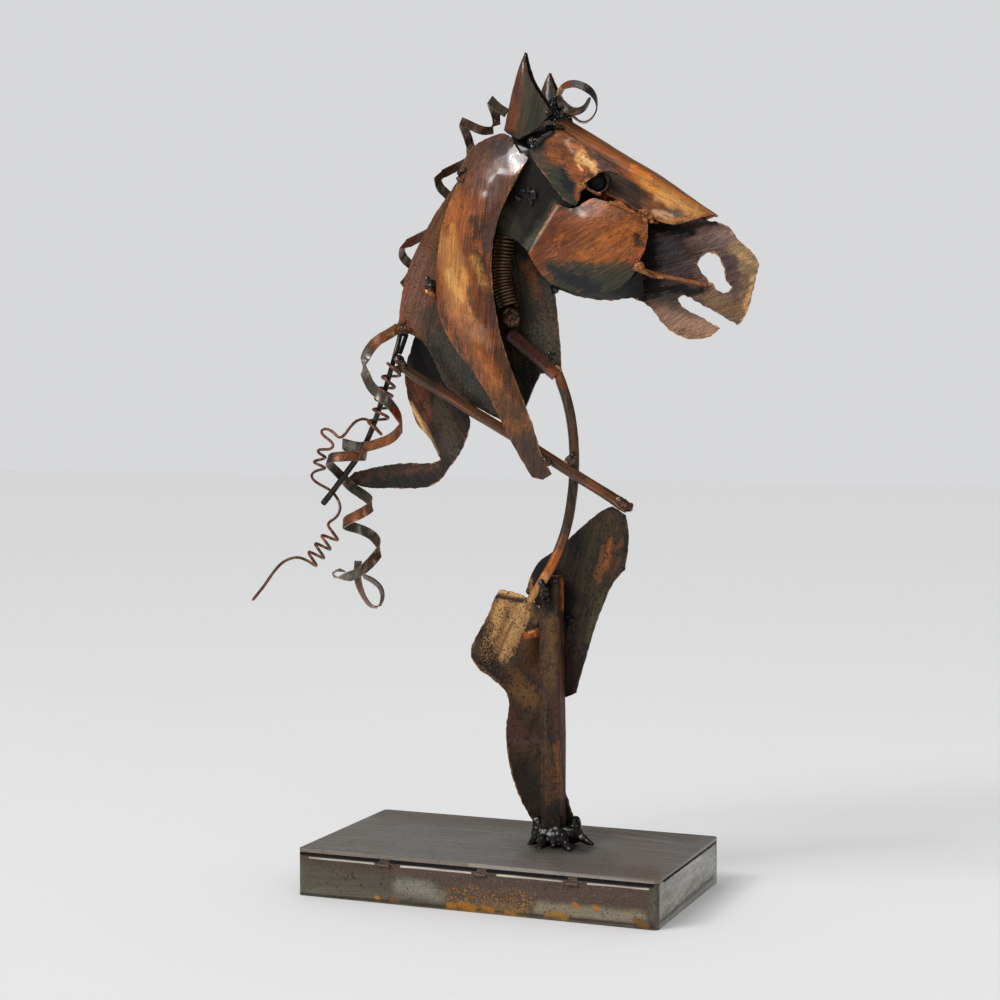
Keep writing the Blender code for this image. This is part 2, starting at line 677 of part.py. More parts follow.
def build_head_core():
    """Flat middle plate: the muzzle with its nostril, mouth and lower lip, and the keel of the jaw."""
    edge = drawn(14, [(726, 223.4), (735, 233.5), (736.2, 241)],
                 [(743.4, 244.5), (755.8, 253.6), (759.2, 263.6)],
                 [(757, 275), (753, 291), (746.3, 316.7), (738.6, 325.3)],
                 [(719.5, 313.8), (694.6, 300.4), (687, 295.6)], [(681.8, 294.8)], [(678.3, 298.2)],
                 [(678.8, 303.5)], [(684, 309)],
                 [(702.3, 318.6), (720, 328.7)],
                 [(708, 338.7), (696.5, 340.6), (673.6, 333.5), (659.2, 318.6)],
                 [(655.4, 310), (647.7, 303.3), (629.6, 296.6)], [(608, 301), (576.5, 296), (555, 286)],
                 [(560, 270), (578, 255), (584, 225), (597, 193)], [(640, 190), (672, 203)],
                 [(700, 218), (722.5, 222.8)])
    nostril = smooth([(697, 263), (699.4, 258), (706, 252.5), (714, 252.5), (721.4, 259.3), (722.3, 265),
                      (724.8, 270), (724.3, 276.5), (726.5, 282), (732, 286), (729.5, 291), (722.8, 293.8),
                      (716, 289), (713.5, 284.5), (707, 281), (705, 276.5), (699.5, 273)], 26, closed=True)
    core = plate("head_core", edge, lambda u, v: MIDDLE, BROWN, cell=60, sheet=MUZZLE_SHEET)
    hole = plate("nostril", nostril, lambda u, v: MIDDLE, BROWN, cell=40, sheet=3 * MUZZLE_SHEET)
    notch(core, hole, room=0)
    bpy.data.objects.remove(hole)
    return core


def build_poll():
    """Low saddle of plate over the top of the head, under the ears."""
    ribs = []
    for foot, top in (((514, 153, -8), (517, 132)), ((527, 157, -9.8), (532, 128.5)),
                      ((541, 156, -9.8), (547, 126)), ((552, 154, -9.8), (559, 126.5))):
        near, crown = seen(*foot), seen(*top, MIDDLE)
        rib = []
        for step in range(9):
            turn = math.pi * (step / 8 - 0.5)
            rib.append(Vector((blend(near.x, crown.x, math.cos(turn)),
                               crown.y + (crown.y - near.y) * math.sin(turn),
                               blend(near.z, crown.z, math.cos(turn)))))
        ribs.append(rib)
    return loft("poll_plate", ribs, DARK)


def build_ear(name, tip, back, lip, depth, radius, sag, colour):
    """Cone wrapped from a sheet and open to the front. back and lip run down from its tip."""
    rows, steps = 5, 8
    wrap = math.radians(125)
    ribs = []
    for row, (a, b) in enumerate(zip(smooth([tip, *back], rows), smooth([tip, *lip], rows))):
        share = row / (rows - 1)
        wide = radius * MM * SCALE * (0.1 + 0.9 * share ** 0.75)
        rear = seen(a.x, a.y, depth)
        run = seen(b.x, b.y, depth - radius * share * math.sin(wrap)) - rear
        run.y = 0
        rib = []
        for step in range(steps + 1):
            turn = blend(-wrap, wrap, step / steps)
            part = (1 - math.cos(turn)) / (1 - math.cos(wrap))
            drop = sag * MM * SCALE * share ** 3 * math.sin(math.pi * part) * (1 if turn < 0 else 0.1)
            rib.append(rear + run * part + Vector((0, wide * math.sin(turn), -drop)))
        ribs.append(rib)
    return loft(name, ribs, colour)


def build_ears():
    near = build_ear("ear_near", (525.9, 53), ((519.6, 68), (514.5, 88), (510, 110), (506, 130.5)),
                     ((527.5, 72), (534.5, 89), (543, 101), (551, 113)), -9.5, 8.5, 11, BROWN)
    far = build_ear("ear_far", (550.3, 72.8), ((546.5, 79), (542, 92), (537.5, 108), (532, 131)),
                    ((553, 82), (557, 93), (562, 104), (566, 121.5)), 33, 8, 0, DARK)
    return near, far


def build_curls():
    """The curled strips: forelock, mane curl, the long hanging curl and the loop below it."""
    towards = Vector((0.37, -0.93, 0))
    lock = [(569.5, 113.5, 14), (576, 119, 14), (582, 122.5, 13.5), (587.6, 122, 13), (592.8, 117.5, 12.5),
            (596.5, 110.5, 12), (596.5, 103, 11), (594, 96, 10), (590, 91, 9), (584.5, 86.8, 8), (577, 84, 7),
            (570, 83.8, 5.5), (564, 86.5, 4), (560, 91, 2), (559.2, 96.5, 0), (561.5, 103, -2),
            (566.5, 108.5, -3.5), (573, 111.5, -4.5), (580, 110.5, -5), (586, 106, -4.5), (589.3, 98, -3.5)]
    forelock = sweep("forelock", smooth([seen(*p) for p in lock], 30),
                     strip_section(STRIP_WIDTH * 1.1, STRIP_SHEET), BROWN,
                     wide=lambda s: blend(towards, Vector((0.15, -0.70, -0.66)), ease(s, 0.2, 0.4)))
    crest = [(507.2, 113, -9), (500, 108.8, -5), (492.5, 102, 0), (489.5, 98.5, 5), (492.5, 107, 14),
             (496, 117, 20), (495, 127, 19), (487, 131.2, 15), (474, 127.2, 10), (462, 121.5, 8),
             (464, 128, 14), (468, 138, 20), (470.5, 150, 22), (464, 162, 18), (450, 170.5, 12),
             (439, 177.5, 8), (438, 184, 9), (443, 191, 15), (452, 200, 22), (452, 214, 24),
             (438, 228, 19), (420, 237.5, 12), (404.5, 246.5, 7), (401.5, 253.5, 8), (405, 260, 12),
             (413, 267, 17), (414, 271, 18), (407, 274.5, 13), (403.5, 279, 9), (407, 286, 7.5),
             (416.5, 292, 2.3)]
    mane = sweep("mane_curl", smooth([seen(*p) for p in crest], 47),
                 strip_section(MANE_STRIP_WIDTH, STRIP_SHEET), BROWN,
                 wide=lambda s: Vector((0.55, 0.1, 0.83)))
    long = [(398, 327.5, 6), (390, 333, 2), (383, 336.5, -2), (376, 341, -6), (370.5, 348, -9),
            (366, 355, -11), (364.4, 363, -12), (364.3, 371, -13), (366.8, 379, -15), (371.3, 387, -17.5),
            (377, 393, -20.8), (383, 397.8, -21.2), (388.5, 403, -20), (394.5, 410, -17), (399.3, 417.5, -14),
            (401, 424.5, -13), (398.5, 431.5, -13), (391, 438.3, -12.5), (380, 443, -12),
            (368.5, 446.2, -11.5),
            (358, 446.8, -10), (349, 445.2, -7), (342, 443, -1), (346, 446.5, 6), (355, 450.5, 9),
            (362, 453.3, 8), (366.8, 455.3, 0.3), (359, 455.8, -7.5), (352, 455.8, -8.5), (343, 456.3, -9.5),
            (333, 457.2, -9.5), (326.8, 459.5, -6), (329.5, 463.5, 0), (336, 470.3, 7.8), (341.5, 476, 11.6),
            (348, 484, 13), (354.5, 489.5, 13), (362, 494, 11), (369, 499, 7), (372.3, 504.3, 2),
            (369.5, 508.7, -3), (361, 513.6, -7.5), (351.5, 518, -9), (344, 522.3, -6.5), (344.5, 525.5, -2),
            (352, 527.4, 3), (362, 530.5, 7), (371.5, 535, 8), (377, 540.5, 6), (379.5, 546.5, 3),
            (379, 551.5, 0), (375, 558.3, -3.5), (368, 566, -7), (360, 572, -8.5), (353, 575.6, -8.5),
            (347, 577.4, -8), (341.5, 579, -7), (336, 578, -6), (332.8, 574.8, -5), (334.5, 571.2, -4.5),
            (339.5, 569.8, -4.5), (343.5, 571.7, -4.8)]
    lean = ((0.42, -0.1), (0.5, 0.45), (0.58, -0.1))
    hanging = sweep("hanging_curl", smooth([seen(*p) for p in long], 86),
                    strip_section(STRIP_WIDTH, STRIP_SHEET), STEEL,
                    wide=lambda s: blend(Vector((table(lean, s), 0.25, 0.96)), towards, ease(s, 0.92, 0.97)))
    hook = [(358.5, 561, -5.2), (357.8, 571, -6.2), (358.2, 581, -4.5), (361, 590, -3), (365.5, 599, -1),
            (371, 605.5, -1), (377.5, 607, -0.5), (382, 602, 0.5), (383.2, 595, 1.5), (381.5, 588.5, 3),
            (377, 583, 4.5), (370, 578.5, 5.5), (363.5, 575.5, 6)]
    loop = sweep("curl_loop", smooth([seen(*p) for p in hook], 18),
                 strip_section(STRIP_WIDTH * 0.75, STRIP_SHEET), STEEL,
                 wide=lambda s: blend(Vector((1, 0.05, 0)), Vector((0.75, -0.6, 0.3)), ease(s, 0.15, 0.4)))
    return forelock, mane, hanging, loop


def coil(turns, middle, near, far):
    """Sheet places of a coil that is seen from its side: (left, right) ends of each turn."""
    path = []
    for i, (left, right) in enumerate(turns):
        a, b = Vector(left), Vector(right)
        deep = blend(middle[0], middle[1], i / len(turns))
        path += [(a.x, a.y, deep), (*blend(a, b, 0.5), deep - near), (b.x, b.y, deep)]
        if i + 1 < len(turns):
            path.append((*blend(b, Vector(turns[i + 1][0]), 0.5), deep + far))
    return path


def build_thin_rod():
    """Thin rod with a wire wound round it. The wire runs on in two looser coils to its free end."""
    line = [(400, 334.5, -6), (395.5, 354, -15), (390, 372, -15.5), (384.8, 390, -12.5), (379.5, 408.5, -9),
            (372.3, 430, -5), (362, 450, -1.5), (346.5, 473.5, 4), (323, 503.5, 9)]
    rod = sweep("thin_rod", smooth([seen(*p) for p in line], 11), ring(6, THIN_ROD / 2), DARK,
                size=lambda s: 0.85 + 0.35 * s)
    spur = sweep("rod_spur", [seen(406, 335.5, -6.5), seen(403, 344.5, -12), seen(400, 353, -17)],
                 ring(5, THIN_ROD / 2 * 0.8), DARK)
    tight = [((386.8, 362.5), (400.5, 376)), ((380.9, 375.6), (395.2, 388)), ((376.2, 387.2), (393, 396.8)),
             ((374, 398), (391.3, 407.5)), ((372.5, 409), (389.3, 418.2)), ((367.8, 420.8), (382, 435))]
    path = coil(tight, (-15.4, -5), 6.3, 6.3)
    path += [(376.5, 428, 0), (369, 420, 1.5), (361, 418.8, -1), (353, 424, -5), (345.5, 433.5, -9),
             (339.8, 439, -9.5), (334, 433, -8), (326, 428.5, -4), (320.5, 431.3, -2), (326, 437.5, -6),
             (333.8, 444.3, -9), (330, 449, -5), (321, 448.8, 1), (316, 450.5, 2), (321, 453.8, 1),
             (326.8, 457, 5), (320, 459, 9), (312.8, 460.5, 5.5), (319, 464, 1.5), (326.3, 467.7, 5),
             (319, 469.3, 9), (311.3, 472.3, 6), (312.5, 479, 6.5), (321, 485, 9.5), (331, 491, 11.8),
             (338.3, 501, 10), (340.3, 510, 7), (336.5, 518, 4), (329, 522.5, 2)]
    loose = [((328, 526), (338.5, 541)), ((321.2, 535), (331.2, 550)), ((314.8, 542.8), (324.8, 558.5)),
             ((308, 550.8), (317.3, 566.5))]
    path += coil(loose, (-1, -1), 5, 5)
    path += [(307, 560, 3), (296.5, 556.5, 1), (284, 561, 0), (274, 571, -1), (263, 587, -1), (252, 601, -1)]
    wire = sweep("coil_wire", smooth([seen(*p) for p in path], 156), ring(3, COIL_WIRE / 2 * 1.1), BROWN)
    return rod, spur, wire


def build_welds(piece):
    """Drops of weld that join the pieces, each cut back from what it touches."""
    drops = (("poll_weld", (537, 141, -13), 4.4, (1.5, 0.8, 0.9), "ear_near poll_plate brow_near skull_near"),
             ("far_ear_weld", (544, 121.5, -2), 4.6, (1.2, 1, 0.8), "ear_far nose_plate poll_plate"),
             ("ear_weld", (555, 106.5, 3), 4.2, (1, 1.5, 1.7), "ear_near nose_plate forelock"),
             ("forelock_weld", (566.5, 115.3, 13.5), 3.2, (1, 1.2, 0.9), "forelock nose_plate"),
             ("nose_weld", (646.5, 216.5, -14.3), 4, (1.5, 0.8, 0.8), "nose_plate cheek_near"),
             ("bit_weld", (638.5, 266.5, -16.8), 3.8, (1.2, 0.9, 1), "cheek_near bit_rod"),
             ("throat_weld", (554.5, 288.5, 10), 3.6, (1, 1.1, 1.3), "neck_plate head_core jaw_near jaw_far"),
             ("mane_weld", (432, 286, -12.3), 3.7, (0.8, 1.1, 1.5), "mane_front mane_back"),
             ("mane_tip_weld", (546, 461, -5.5), 3.6, (1.2, 0.8, 0.8), "mane_front cross_rod"),
             ("low_mane_weld", (403.3, 332, -5.6), 3.5, (1.5, 1, 0.8),
              "mane_back hanging_curl thin_rod rod_spur"),
             ("rod_end_weld", (399, 360, -20), 4, (1.1, 1, 1), "cross_rod thin_rod rod_spur coil_wire"),
             ("bar_weld", (552.5, 356.5, 7.5), 3.2, (1, 1, 1), "neck_bar neck_plate"),
             ("cross_weld", (570.5, 461, 6), 4, (1, 1, 1.1), "cross_rod curved_rod"),
             ("post_weld", (545, 589, -1), 4, (1.1, 0.7, 1), "post curved_rod"),
             ("leg_weld", (534, 633, 2.5), 3, (0.9, 1, 1), "leg_plate post"),
             ("chest_weld", (569.5, 621, 15), 3, (1, 1, 1), "chest_plate post leg_plate"))
    for seed, (name, place, size, stretch, others) in enumerate(drops):
        place = seen(*place)
        if name.startswith("far"):
            place.y = 2 * MIDDLE * MM * SCALE - place.y
        drop = weld(name, place, size * MM, stretch, BROWN, seed)
        notch(drop, *[piece[other] for other in others.split()])


def build():
    for item in list(bpy.data.objects):
        bpy.data.objects.remove(item)
    build_plinth()
    build_post()
    build_foot_weld()
    build_leg_plate()
    build_chest_plate()
    bar, cross, curved, bit = build_rods()
    neck = build_neck_plate()
    build_spring(neck, bar)
    build_mane()
    skull, cheek, jaw, brow = build_side("near", 1)
    eye = build_eye("eye_near")
    notch(eye, brow)
    far_side(eye, "eye_far")
    for piece in build_side("far", 1.5):
        far_side(piece)
    build_nose()
    build_head_core()
    build_poll()
    build_ears()
    build_curls()
    build_thin_rod()
    build_welds({item.name: item for item in bpy.data.objects})


build()
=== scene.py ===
"""Dresses the welded horse's head: smooth dented plates, weld beads, ragged rims and patinas."""
import json
import math

import bmesh
import bpy
from mathutils import Matrix, Vector, noise
from mathutils.bvhtree import BVHTree
from mathutils.kdtree import KDTree


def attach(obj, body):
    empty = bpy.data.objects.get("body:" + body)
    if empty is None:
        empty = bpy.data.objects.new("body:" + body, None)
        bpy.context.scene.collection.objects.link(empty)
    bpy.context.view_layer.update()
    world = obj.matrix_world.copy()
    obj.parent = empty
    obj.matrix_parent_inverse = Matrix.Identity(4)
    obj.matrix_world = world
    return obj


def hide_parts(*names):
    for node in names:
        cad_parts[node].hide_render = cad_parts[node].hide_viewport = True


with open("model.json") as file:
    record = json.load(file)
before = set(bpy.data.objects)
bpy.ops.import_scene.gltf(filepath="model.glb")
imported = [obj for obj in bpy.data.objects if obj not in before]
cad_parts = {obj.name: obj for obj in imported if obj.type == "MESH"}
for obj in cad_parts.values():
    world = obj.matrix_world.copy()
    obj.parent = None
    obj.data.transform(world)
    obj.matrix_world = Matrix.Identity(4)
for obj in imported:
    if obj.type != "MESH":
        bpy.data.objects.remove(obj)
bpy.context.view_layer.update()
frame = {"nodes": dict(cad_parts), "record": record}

# The noise that dents and frays the pieces is the same in each run
noise.seed_set(5)

# The view sheet: a picture of the work 1000 points across, seen from a little to the right
VIEW_TURN = math.radians(21.62)
VIEW_RISE = math.radians(2.98)
VIEW_DISTANCE = 1.326
VIEW_AIM = Vector((-0.0075, 0.0, 0.2521))
VIEW_FOCUS = 2061
VIEW_MIDDLE = 500
POINT = VIEW_DISTANCE / VIEW_FOCUS
MM = 0.001

# The box and the spring, as in the part
PLINTH_HEIGHT = 0.0305
PLINTH_PLATE = 0.0025
SPRING_WIDTH = 0.0130
SPRING_WIRE = 0.0017
SPRING_TURNS = 21

# The head's middle plane, and the fall of the box's top seam across the sheet
HEAD_MIDDLE = 0.012
SEAM_SLOPE = 0.098

# Hammering and wear: how deep and how long the dents are, how deep, how far in and how fine the cut rims
# are frayed, and the turn in degrees past which an edge is a cut rim
DENT = 0.0007
DENT_SIZE = 0.030
RAG = 0.00035
STRIP_RAG = 0.00012
RAG_REACH = 0.0022
RAG_SIZE = 0.0032
RIM_ANGLE = 50

# Lumps of the rods and of the welds
ROD_LUMP = 0.00012
WELD_LUMP = 0.0007

# Weld, as shares of a bead's radius: its broad and its small lumps, and how far its middle stands out of
# the face that it lies on
BEAD_LUMP = 0.30
BEAD_PIMPLE = 0.12
BEAD_RISE = 0.25

slots = {row["node"]: row["material_slot"] for row in frame["record"]["subparts"]}


def view_frame():
    """The eye of the view sheet and its forward, sideways and upward directions."""
    level = math.cos(VIEW_RISE)
    back = Vector((math.sin(VIEW_TURN) * level, -math.cos(VIEW_TURN) * level, math.sin(VIEW_RISE)))
    side = Vector((math.cos(VIEW_TURN), math.sin(VIEW_TURN), 0))
    return VIEW_AIM + back * VIEW_DISTANCE, -back, side, back.cross(side)


EYE, FORWARD, SIDE, UPWARD = view_frame()


def ray(u, v):
    """The line of sight through a sheet point."""
    return (FORWARD + SIDE * ((u - VIEW_MIDDLE) / VIEW_FOCUS)
            - UPWARD * ((v - VIEW_MIDDLE) / VIEW_FOCUS)).normalized()


def seen(u, v, depth):
    """Place of a sheet point at a depth in millimetres behind the box's middle."""
    way = ray(u, v)
    return EYE + way * ((depth * MM - EYE.y) / way.y)


trees = {node: BVHTree.FromObject(piece, bpy.context.evaluated_depsgraph_get())
         for node, piece in frame["nodes"].items()}


def on(node, u, v):
    """The place and the outward direction where the line of sight meets a CAD node's near face."""
    place, normal, _, _ = trees[node].ray_cast(EYE, ray(u, v))
    if place is None:
        way = ray(u, v)
        corners = [v.co for v in frame["nodes"][node].data.vertices]
        nearest = min(corners, key=lambda p: ((p - EYE) - way * (p - EYE).dot(way)).length)
        place = EYE + way * (nearest - EYE).dot(way)
        place, normal, _, _ = trees[node].find_nearest(place)
    return place, normal


def blend(a, b, share):
    """The value at a share of the way from a to b."""
    return a + (b - a) * share


# Modelling


def only(piece):
    """Select one piece and nothing else."""
    if bpy.context.object and bpy.context.object.mode != "OBJECT":
        bpy.ops.object.mode_set(mode="OBJECT")
    bpy.ops.object.select_all(action="DESELECT")
    piece.select_set(True)
    bpy.context.view_layer.objects.active = piece


def settle(piece, *nodes, slot=None):
    """Give a finished piece its body and hide the CAD nodes it stands for. The slot is not used."""
    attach(piece, "root")
    if nodes:
        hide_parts(*nodes)
    return piece


def copied(name, node):
    """A new piece from a CAD node's mesh, with its loose triangles merged."""
    piece = bpy.data.objects.new(name, frame["nodes"][node].data.copy())
    bpy.context.collection.objects.link(piece)
    edited(piece, lambda: bpy.ops.mesh.remove_doubles(threshold=0.00001),
           bpy.ops.mesh.customdata_custom_splitnormals_clear)
    piece.data.materials.clear()
    for layer in list(piece.data.uv_layers):
        piece.data.uv_layers.remove(layer)
    return piece


def edited(piece, *steps):
    """Take steps in edit mode with all of a piece selected at first."""
    only(piece)
    bpy.ops.object.mode_set(mode="EDIT")
    bpy.ops.mesh.select_all(action="SELECT")
    for step in steps:
        step()
    bpy.ops.object.mode_set(mode="OBJECT")
    return piece


def modified(piece, kind, **settings):
    """Put one modifier on a piece and apply it."""
    only(piece)
    made = piece.modifiers.new("made", kind)
    for key, value in settings.items():
        setattr(made, key, value)
    bpy.ops.object.modifier_apply(modifier="made")
    return piece


def refined(piece, levels, sharp=40, quads=False):
    """Round a coarse piece off with a subdivision surface that keeps its rims and corners."""
    def joined():
        bpy.ops.mesh.tris_convert_to_quads(face_threshold=math.radians(50),
                                           shape_threshold=math.radians(60))

    def creased():
        bpy.ops.mesh.select_mode(type="EDGE")
        bpy.ops.mesh.select_all(action="DESELECT")
        bpy.ops.mesh.edges_select_sharp(sharpness=math.radians(sharp))
        bpy.ops.transform.edge_crease(value=1)

    steps = [joined] if quads else []
    if sharp < 180:
        steps.append(creased)
    edited(piece, *steps)
    return modified(piece, "SUBSURF", levels=levels, render_levels=levels)


def rounded(piece, width, segments=2):
    """Take the sharp edges of a piece off with a bevel."""
    return modified(piece, "BEVEL", width=width, segments=segments, limit_method="ANGLE",
                    angle_limit=math.radians(RIM_ANGLE), use_clamp_overlap=True)


def shaded(piece, angle=45):
    """Let the faces run smoothly into one another, but for edges past an angle."""
    only(piece)
    bpy.ops.object.shade_smooth_by_angle(angle=math.radians(angle))
    return piece


def rim_marked(piece):
    """Store each point's distance from the nearest cut rim as the attribute rim, in metres."""
    mesh = bmesh.new()
    mesh.from_mesh(piece.data)
    on_rim = {v for e in mesh.edges if len(e.link_faces) == 2
              and e.calc_face_angle(0) > math.radians(RIM_ANGLE) for v in e.verts}
    tree = KDTree(max(1, len(on_rim)))
    for i, vert in enumerate(on_rim):
        tree.insert(vert.co, i)
    tree.balance()
    far = [tree.find(vert.co)[2] if on_rim else 1.0 for vert in mesh.verts]
    mesh.free()
    layer = piece.data.attributes.new("rim", "FLOAT", "POINT")
    layer.data.foreach_set("value", far)
    return far


def dent(place):
    """How far a place of the figure is pushed by the hammering, the same for pieces that touch."""
    return noise.noise_vector(place / DENT_SIZE) * DENT


def worn(piece, rag=0.0, lump=0.0, lump_size=0.004):
    """Hammer a piece a little out of true, fray its cut rims and roughen its faces."""
    far = rim_marked(piece)
    piece.data.update()
    mesh = piece.data
    for vert, gap in zip(mesh.vertices, far):
        place = vert.co.copy()
        move = dent(place)
        if rag and gap < RAG_REACH:
            move += noise.noise_vector(place / RAG_SIZE) * (rag * (1 - gap / RAG_REACH))
        if lump:
            move += vert.normal * (noise.noise(place / lump_size) * lump)
        vert.co = place + move
    mesh.update()
    return piece


def front(u, v):
    """Place and outward direction of the CAD node nearest in a line of sight, or None past them all."""
    hits = []
    for tree in trees.values():
        place, normal, _, far = tree.ray_cast(EYE, ray(u, v))
        if place is not None:
            hits.append((far, place, normal))
    return min(hits, key=lambda hit: hit[0])[1:] if hits else None


def bead(place, size, seed):
    """A lumpy bead of weld at a place."""
    bpy.ops.object.select_all(action="DESELECT")
    bpy.ops.mesh.primitive_ico_sphere_add(subdivisions=3, radius=size)
    piece = bpy.context.object
    shift = Vector((seed * 1.7, seed * 0.9, seed * 2.3))
    for vert in piece.data.vertices:
        way = vert.co.normalized()
        vert.co *= (1 + BEAD_LUMP * noise.noise(way * 1.3 + shift)
                    + BEAD_PIMPLE * noise.noise(way * 3.4 + shift))
        vert.co += place
    return piece


def melted(piece, grain, passes=0):
    """Fuse a piece's shapes into one skin and let it run smooth."""
    modified(piece, "REMESH", mode="VOXEL", voxel_size=grain)
    return modified(piece, "SMOOTH", iterations=passes) if passes else piece


def beads(name, rows, grain=0.00035, step=0.75, passes=1):
    """Lines of beads run together.

    Each row is a sheet point, another, the radius at each, and the depth at each where they lie on no
    near face. A bead follows the last one after a step, as a share of the larger radius.
    """
    drops = []
    for seed, (u, v, u2, v2, first, last, *depth) in enumerate(rows):
        length = math.hypot(u2 - u, v2 - v)
        count = 1 + int(length / (step * max(first, last)))
        for i in range(count):
            share = i / max(1, count - 1)
            size = blend(first, last, share) * POINT
            point = blend(u, u2, share), blend(v, v2, share)
            spot = (seen(*point, blend(*depth, share)), Vector()) if depth else front(*point)
            if spot:
                drops.append(bead(spot[0] + spot[1] * (size * BEAD_RISE), size, seed * 7 + i))
    bpy.ops.object.select_all(action="DESELECT")
    for piece in drops:
        piece.select_set(True)
    piece = drops[0]
    bpy.context.view_layer.objects.active = piece
    if len(drops) > 1:
        bpy.ops.object.join()
    piece.name = name
    return melted(piece, grain, passes)


# Finishes


def tint(colour):
    """A colour made linear for the shader."""
    return tuple((part / 255) ** 2.2 for part in colour) + (1,)


# Colours as a paint chart gives them, red, green and blue from 0 to 255
BLACK = (12, 10, 9)
SOOT = (26, 22, 19)
GREEN_BLACK = (36, 37, 29)
GREEN_BROWN = (58, 54, 40)
DARK_BROWN = (50, 36, 25)
BROWN = (84, 54, 32)
RED_BROWN = (116, 64, 36)
COPPER = (150, 82, 34)
TAN = (198, 138, 74)
PALE = (206, 164, 118)

LACQUER_ROUGHNESS = 0.14
SHEEN = 0.35

# Noises of the finishes: a scale is in waves a metre, WANDER and the rest are in metres
DRIFT_SCALE = 130.0
WANDER = 0.008
GRAIN_SCALE = 900
CLOUD_SCALE = 42
STROKE_RELIEF = 0.00012
PIT_RELIEF = 0.00012

# Specks lie this many of their sizes apart
SPECK_GAP = 2.2

# Where the stroke noise begins and ends the run of a finish's colours
STROKE_RANGE = 0.37, 0.63

# A mark is laid on the figure flat along the line of sight, by this share. Marks up to THIN_MARK metres
# in radius stay straight, wider ones wander
FLATTENING = 0.8
THIN_MARK = 0.0016


class Finish:
    """A finish built up coat by coat from textures in the piece's own metres.

    way is the direction that the brush and the grinder ran in. base lists the colours of the strokes from
    the darkest to the lightest.
    """

    def __init__(self, name, base, way, seed=0, rough=0.50, metallic=0.3, coat=0.25, length=0.040,
                 width=0.0010, grit=0.0, ragged=1.0):
        self.material = bpy.data.materials.new(name)
        self.material.use_nodes = True
        self.tree = self.material.node_tree
        self.shader = self.tree.nodes["Principled BSDF"]
        self.shader.inputs["Metallic"].default_value = metallic
        self.shader.inputs["Coat Weight"].default_value = coat
        self.shader.inputs["Coat Roughness"].default_value = LACQUER_ROUGHNESS
        self.shader.inputs["Specular IOR Level"].default_value = SHEEN
        self.material.diffuse_color = tint(base[len(base) // 2])
        self.raw = self.node("TexCoord").outputs["Object"]
        shift = (seed * 0.37, seed * 0.21, seed * 0.53)
        self.place = self.vector("ADD", self.raw, shift)
        drift = self.noise(DRIFT_SCALE, 3, 0.6).node.outputs["Color"]
        wander = self.vector("SCALE", self.vector("SUBTRACT", drift, (0.5, 0.5, 0.5)), WANDER * ragged)
        self.wandered = self.vector("ADD", self.raw, wander)
        self.turn = Vector(way).to_track_quat("X", "Z").to_euler()
        self.fine = self.strokes(length, width)
        self.band = self.strokes(length * 1.6, width * 3.2)
        self.grain = self.noise(GRAIN_SCALE, 2, 0.7)
        self.grit = grit
        self.ragged = ragged
        broad = self.strokes(length * 2.0, width * 11)
        cloud = self.noise(CLOUD_SCALE, 4, 0.55)
        streaky = self.sum(self.times(self.fine, 0.26), self.times(self.band, 0.34))
        streaky = self.sum(streaky, self.times(self.sum(broad, cloud), 0.20))
        self.colour = self.ramp(streaky, base)
        self.roughness = self.sum(rough - 0.15, self.times(self.noise(260, 4, 0.6), 0.30))
        self.normal = None
        self.gloss = None

    def node(self, kind, inputs=None, **settings):
        """Add a shader node, and link its inputs or set them."""
        made = self.tree.nodes.new("ShaderNode" + kind)
        for key, value in settings.items():
            setattr(made, key, value)
        for key, value in (inputs or {}).items():
            if isinstance(value, bpy.types.NodeSocket):
                self.tree.links.new(value, made.inputs[key])
            else:
                made.inputs[key].default_value = value
        return made

    def strokes(self, length, width, turn=None):
        """Noise drawn out along the strokes."""
        made = self.node("Mapping", vector_type="TEXTURE", inputs={
            "Vector": self.place, "Rotation": turn or self.turn, "Scale": (length, width, width)})
        return self.noise(1, 2.5, 0.55, made.outputs[0])

    def noise(self, scale, detail=4, rough=0.55, place=None):
        made = self.node("TexNoise", inputs={"Vector": place or self.place, "Scale": float(scale),
                                             "Detail": float(detail), "Roughness": rough})
        return made.outputs["Fac"]

    def vector(self, operation, a, b=None):
        """A step in vectors. A dot product and a length come out as numbers."""
        inputs = {0: a} if b is None else {0: a, "Scale" if operation == "SCALE" else 1: b}
        made = self.node("VectorMath", operation=operation, inputs=inputs)
        return made.outputs["Value" if operation in ("DOT_PRODUCT", "LENGTH") else 0]

    def sum(self, a, b):
        return self.node("Math", operation="ADD", inputs={0: a, 1: b}).outputs[0]

    def times(self, a, b):
        return self.node("Math", operation="MULTIPLY", inputs={0: a, 1: b}).outputs[0]

    def swayed(self, value, noise, reach, middle=0.5):
        """Move a value up and down with a noise."""
        return self.sum(value, self.times(self.sum(noise, -middle), reach))

    def span(self, value, low, high, first=0.0, last=1.0):
        """A smooth step from first at low to last at high."""
        made = self.node("MapRange", interpolation_type="SMOOTHSTEP",
                         inputs={"Value": value, "From Min": low, "From Max": high,
                                 "To Min": first, "To Max": last})
        return made.outputs["Result"]

    def ramp(self, value, colours):
        """Run through colours in even steps over the middle of a noise."""
        low, high = STROKE_RANGE
        made = self.node("ValToRGB", inputs={0: value})
        steps = made.color_ramp.elements
        for i, colour in enumerate(colours):
            at = low + (high - low) * i / max(1, len(colours) - 1)
            step = steps[i] if i < 2 else steps.new(at)
            step.position = at
            step.color = tint(colour)
        return made.outputs["Color"]

    def over(self, share, colour, kind="MIX"):
        """Lay a colour over what is there, by a share."""
        colour = colour if isinstance(colour, bpy.types.NodeSocket) else tint(colour)
        made = self.node("Mix", data_type="RGBA", blend_type=kind, clamp_factor=True,
                         inputs={0: share, 6: self.colour, 7: colour})
        self.colour = made.outputs[2]
        return self

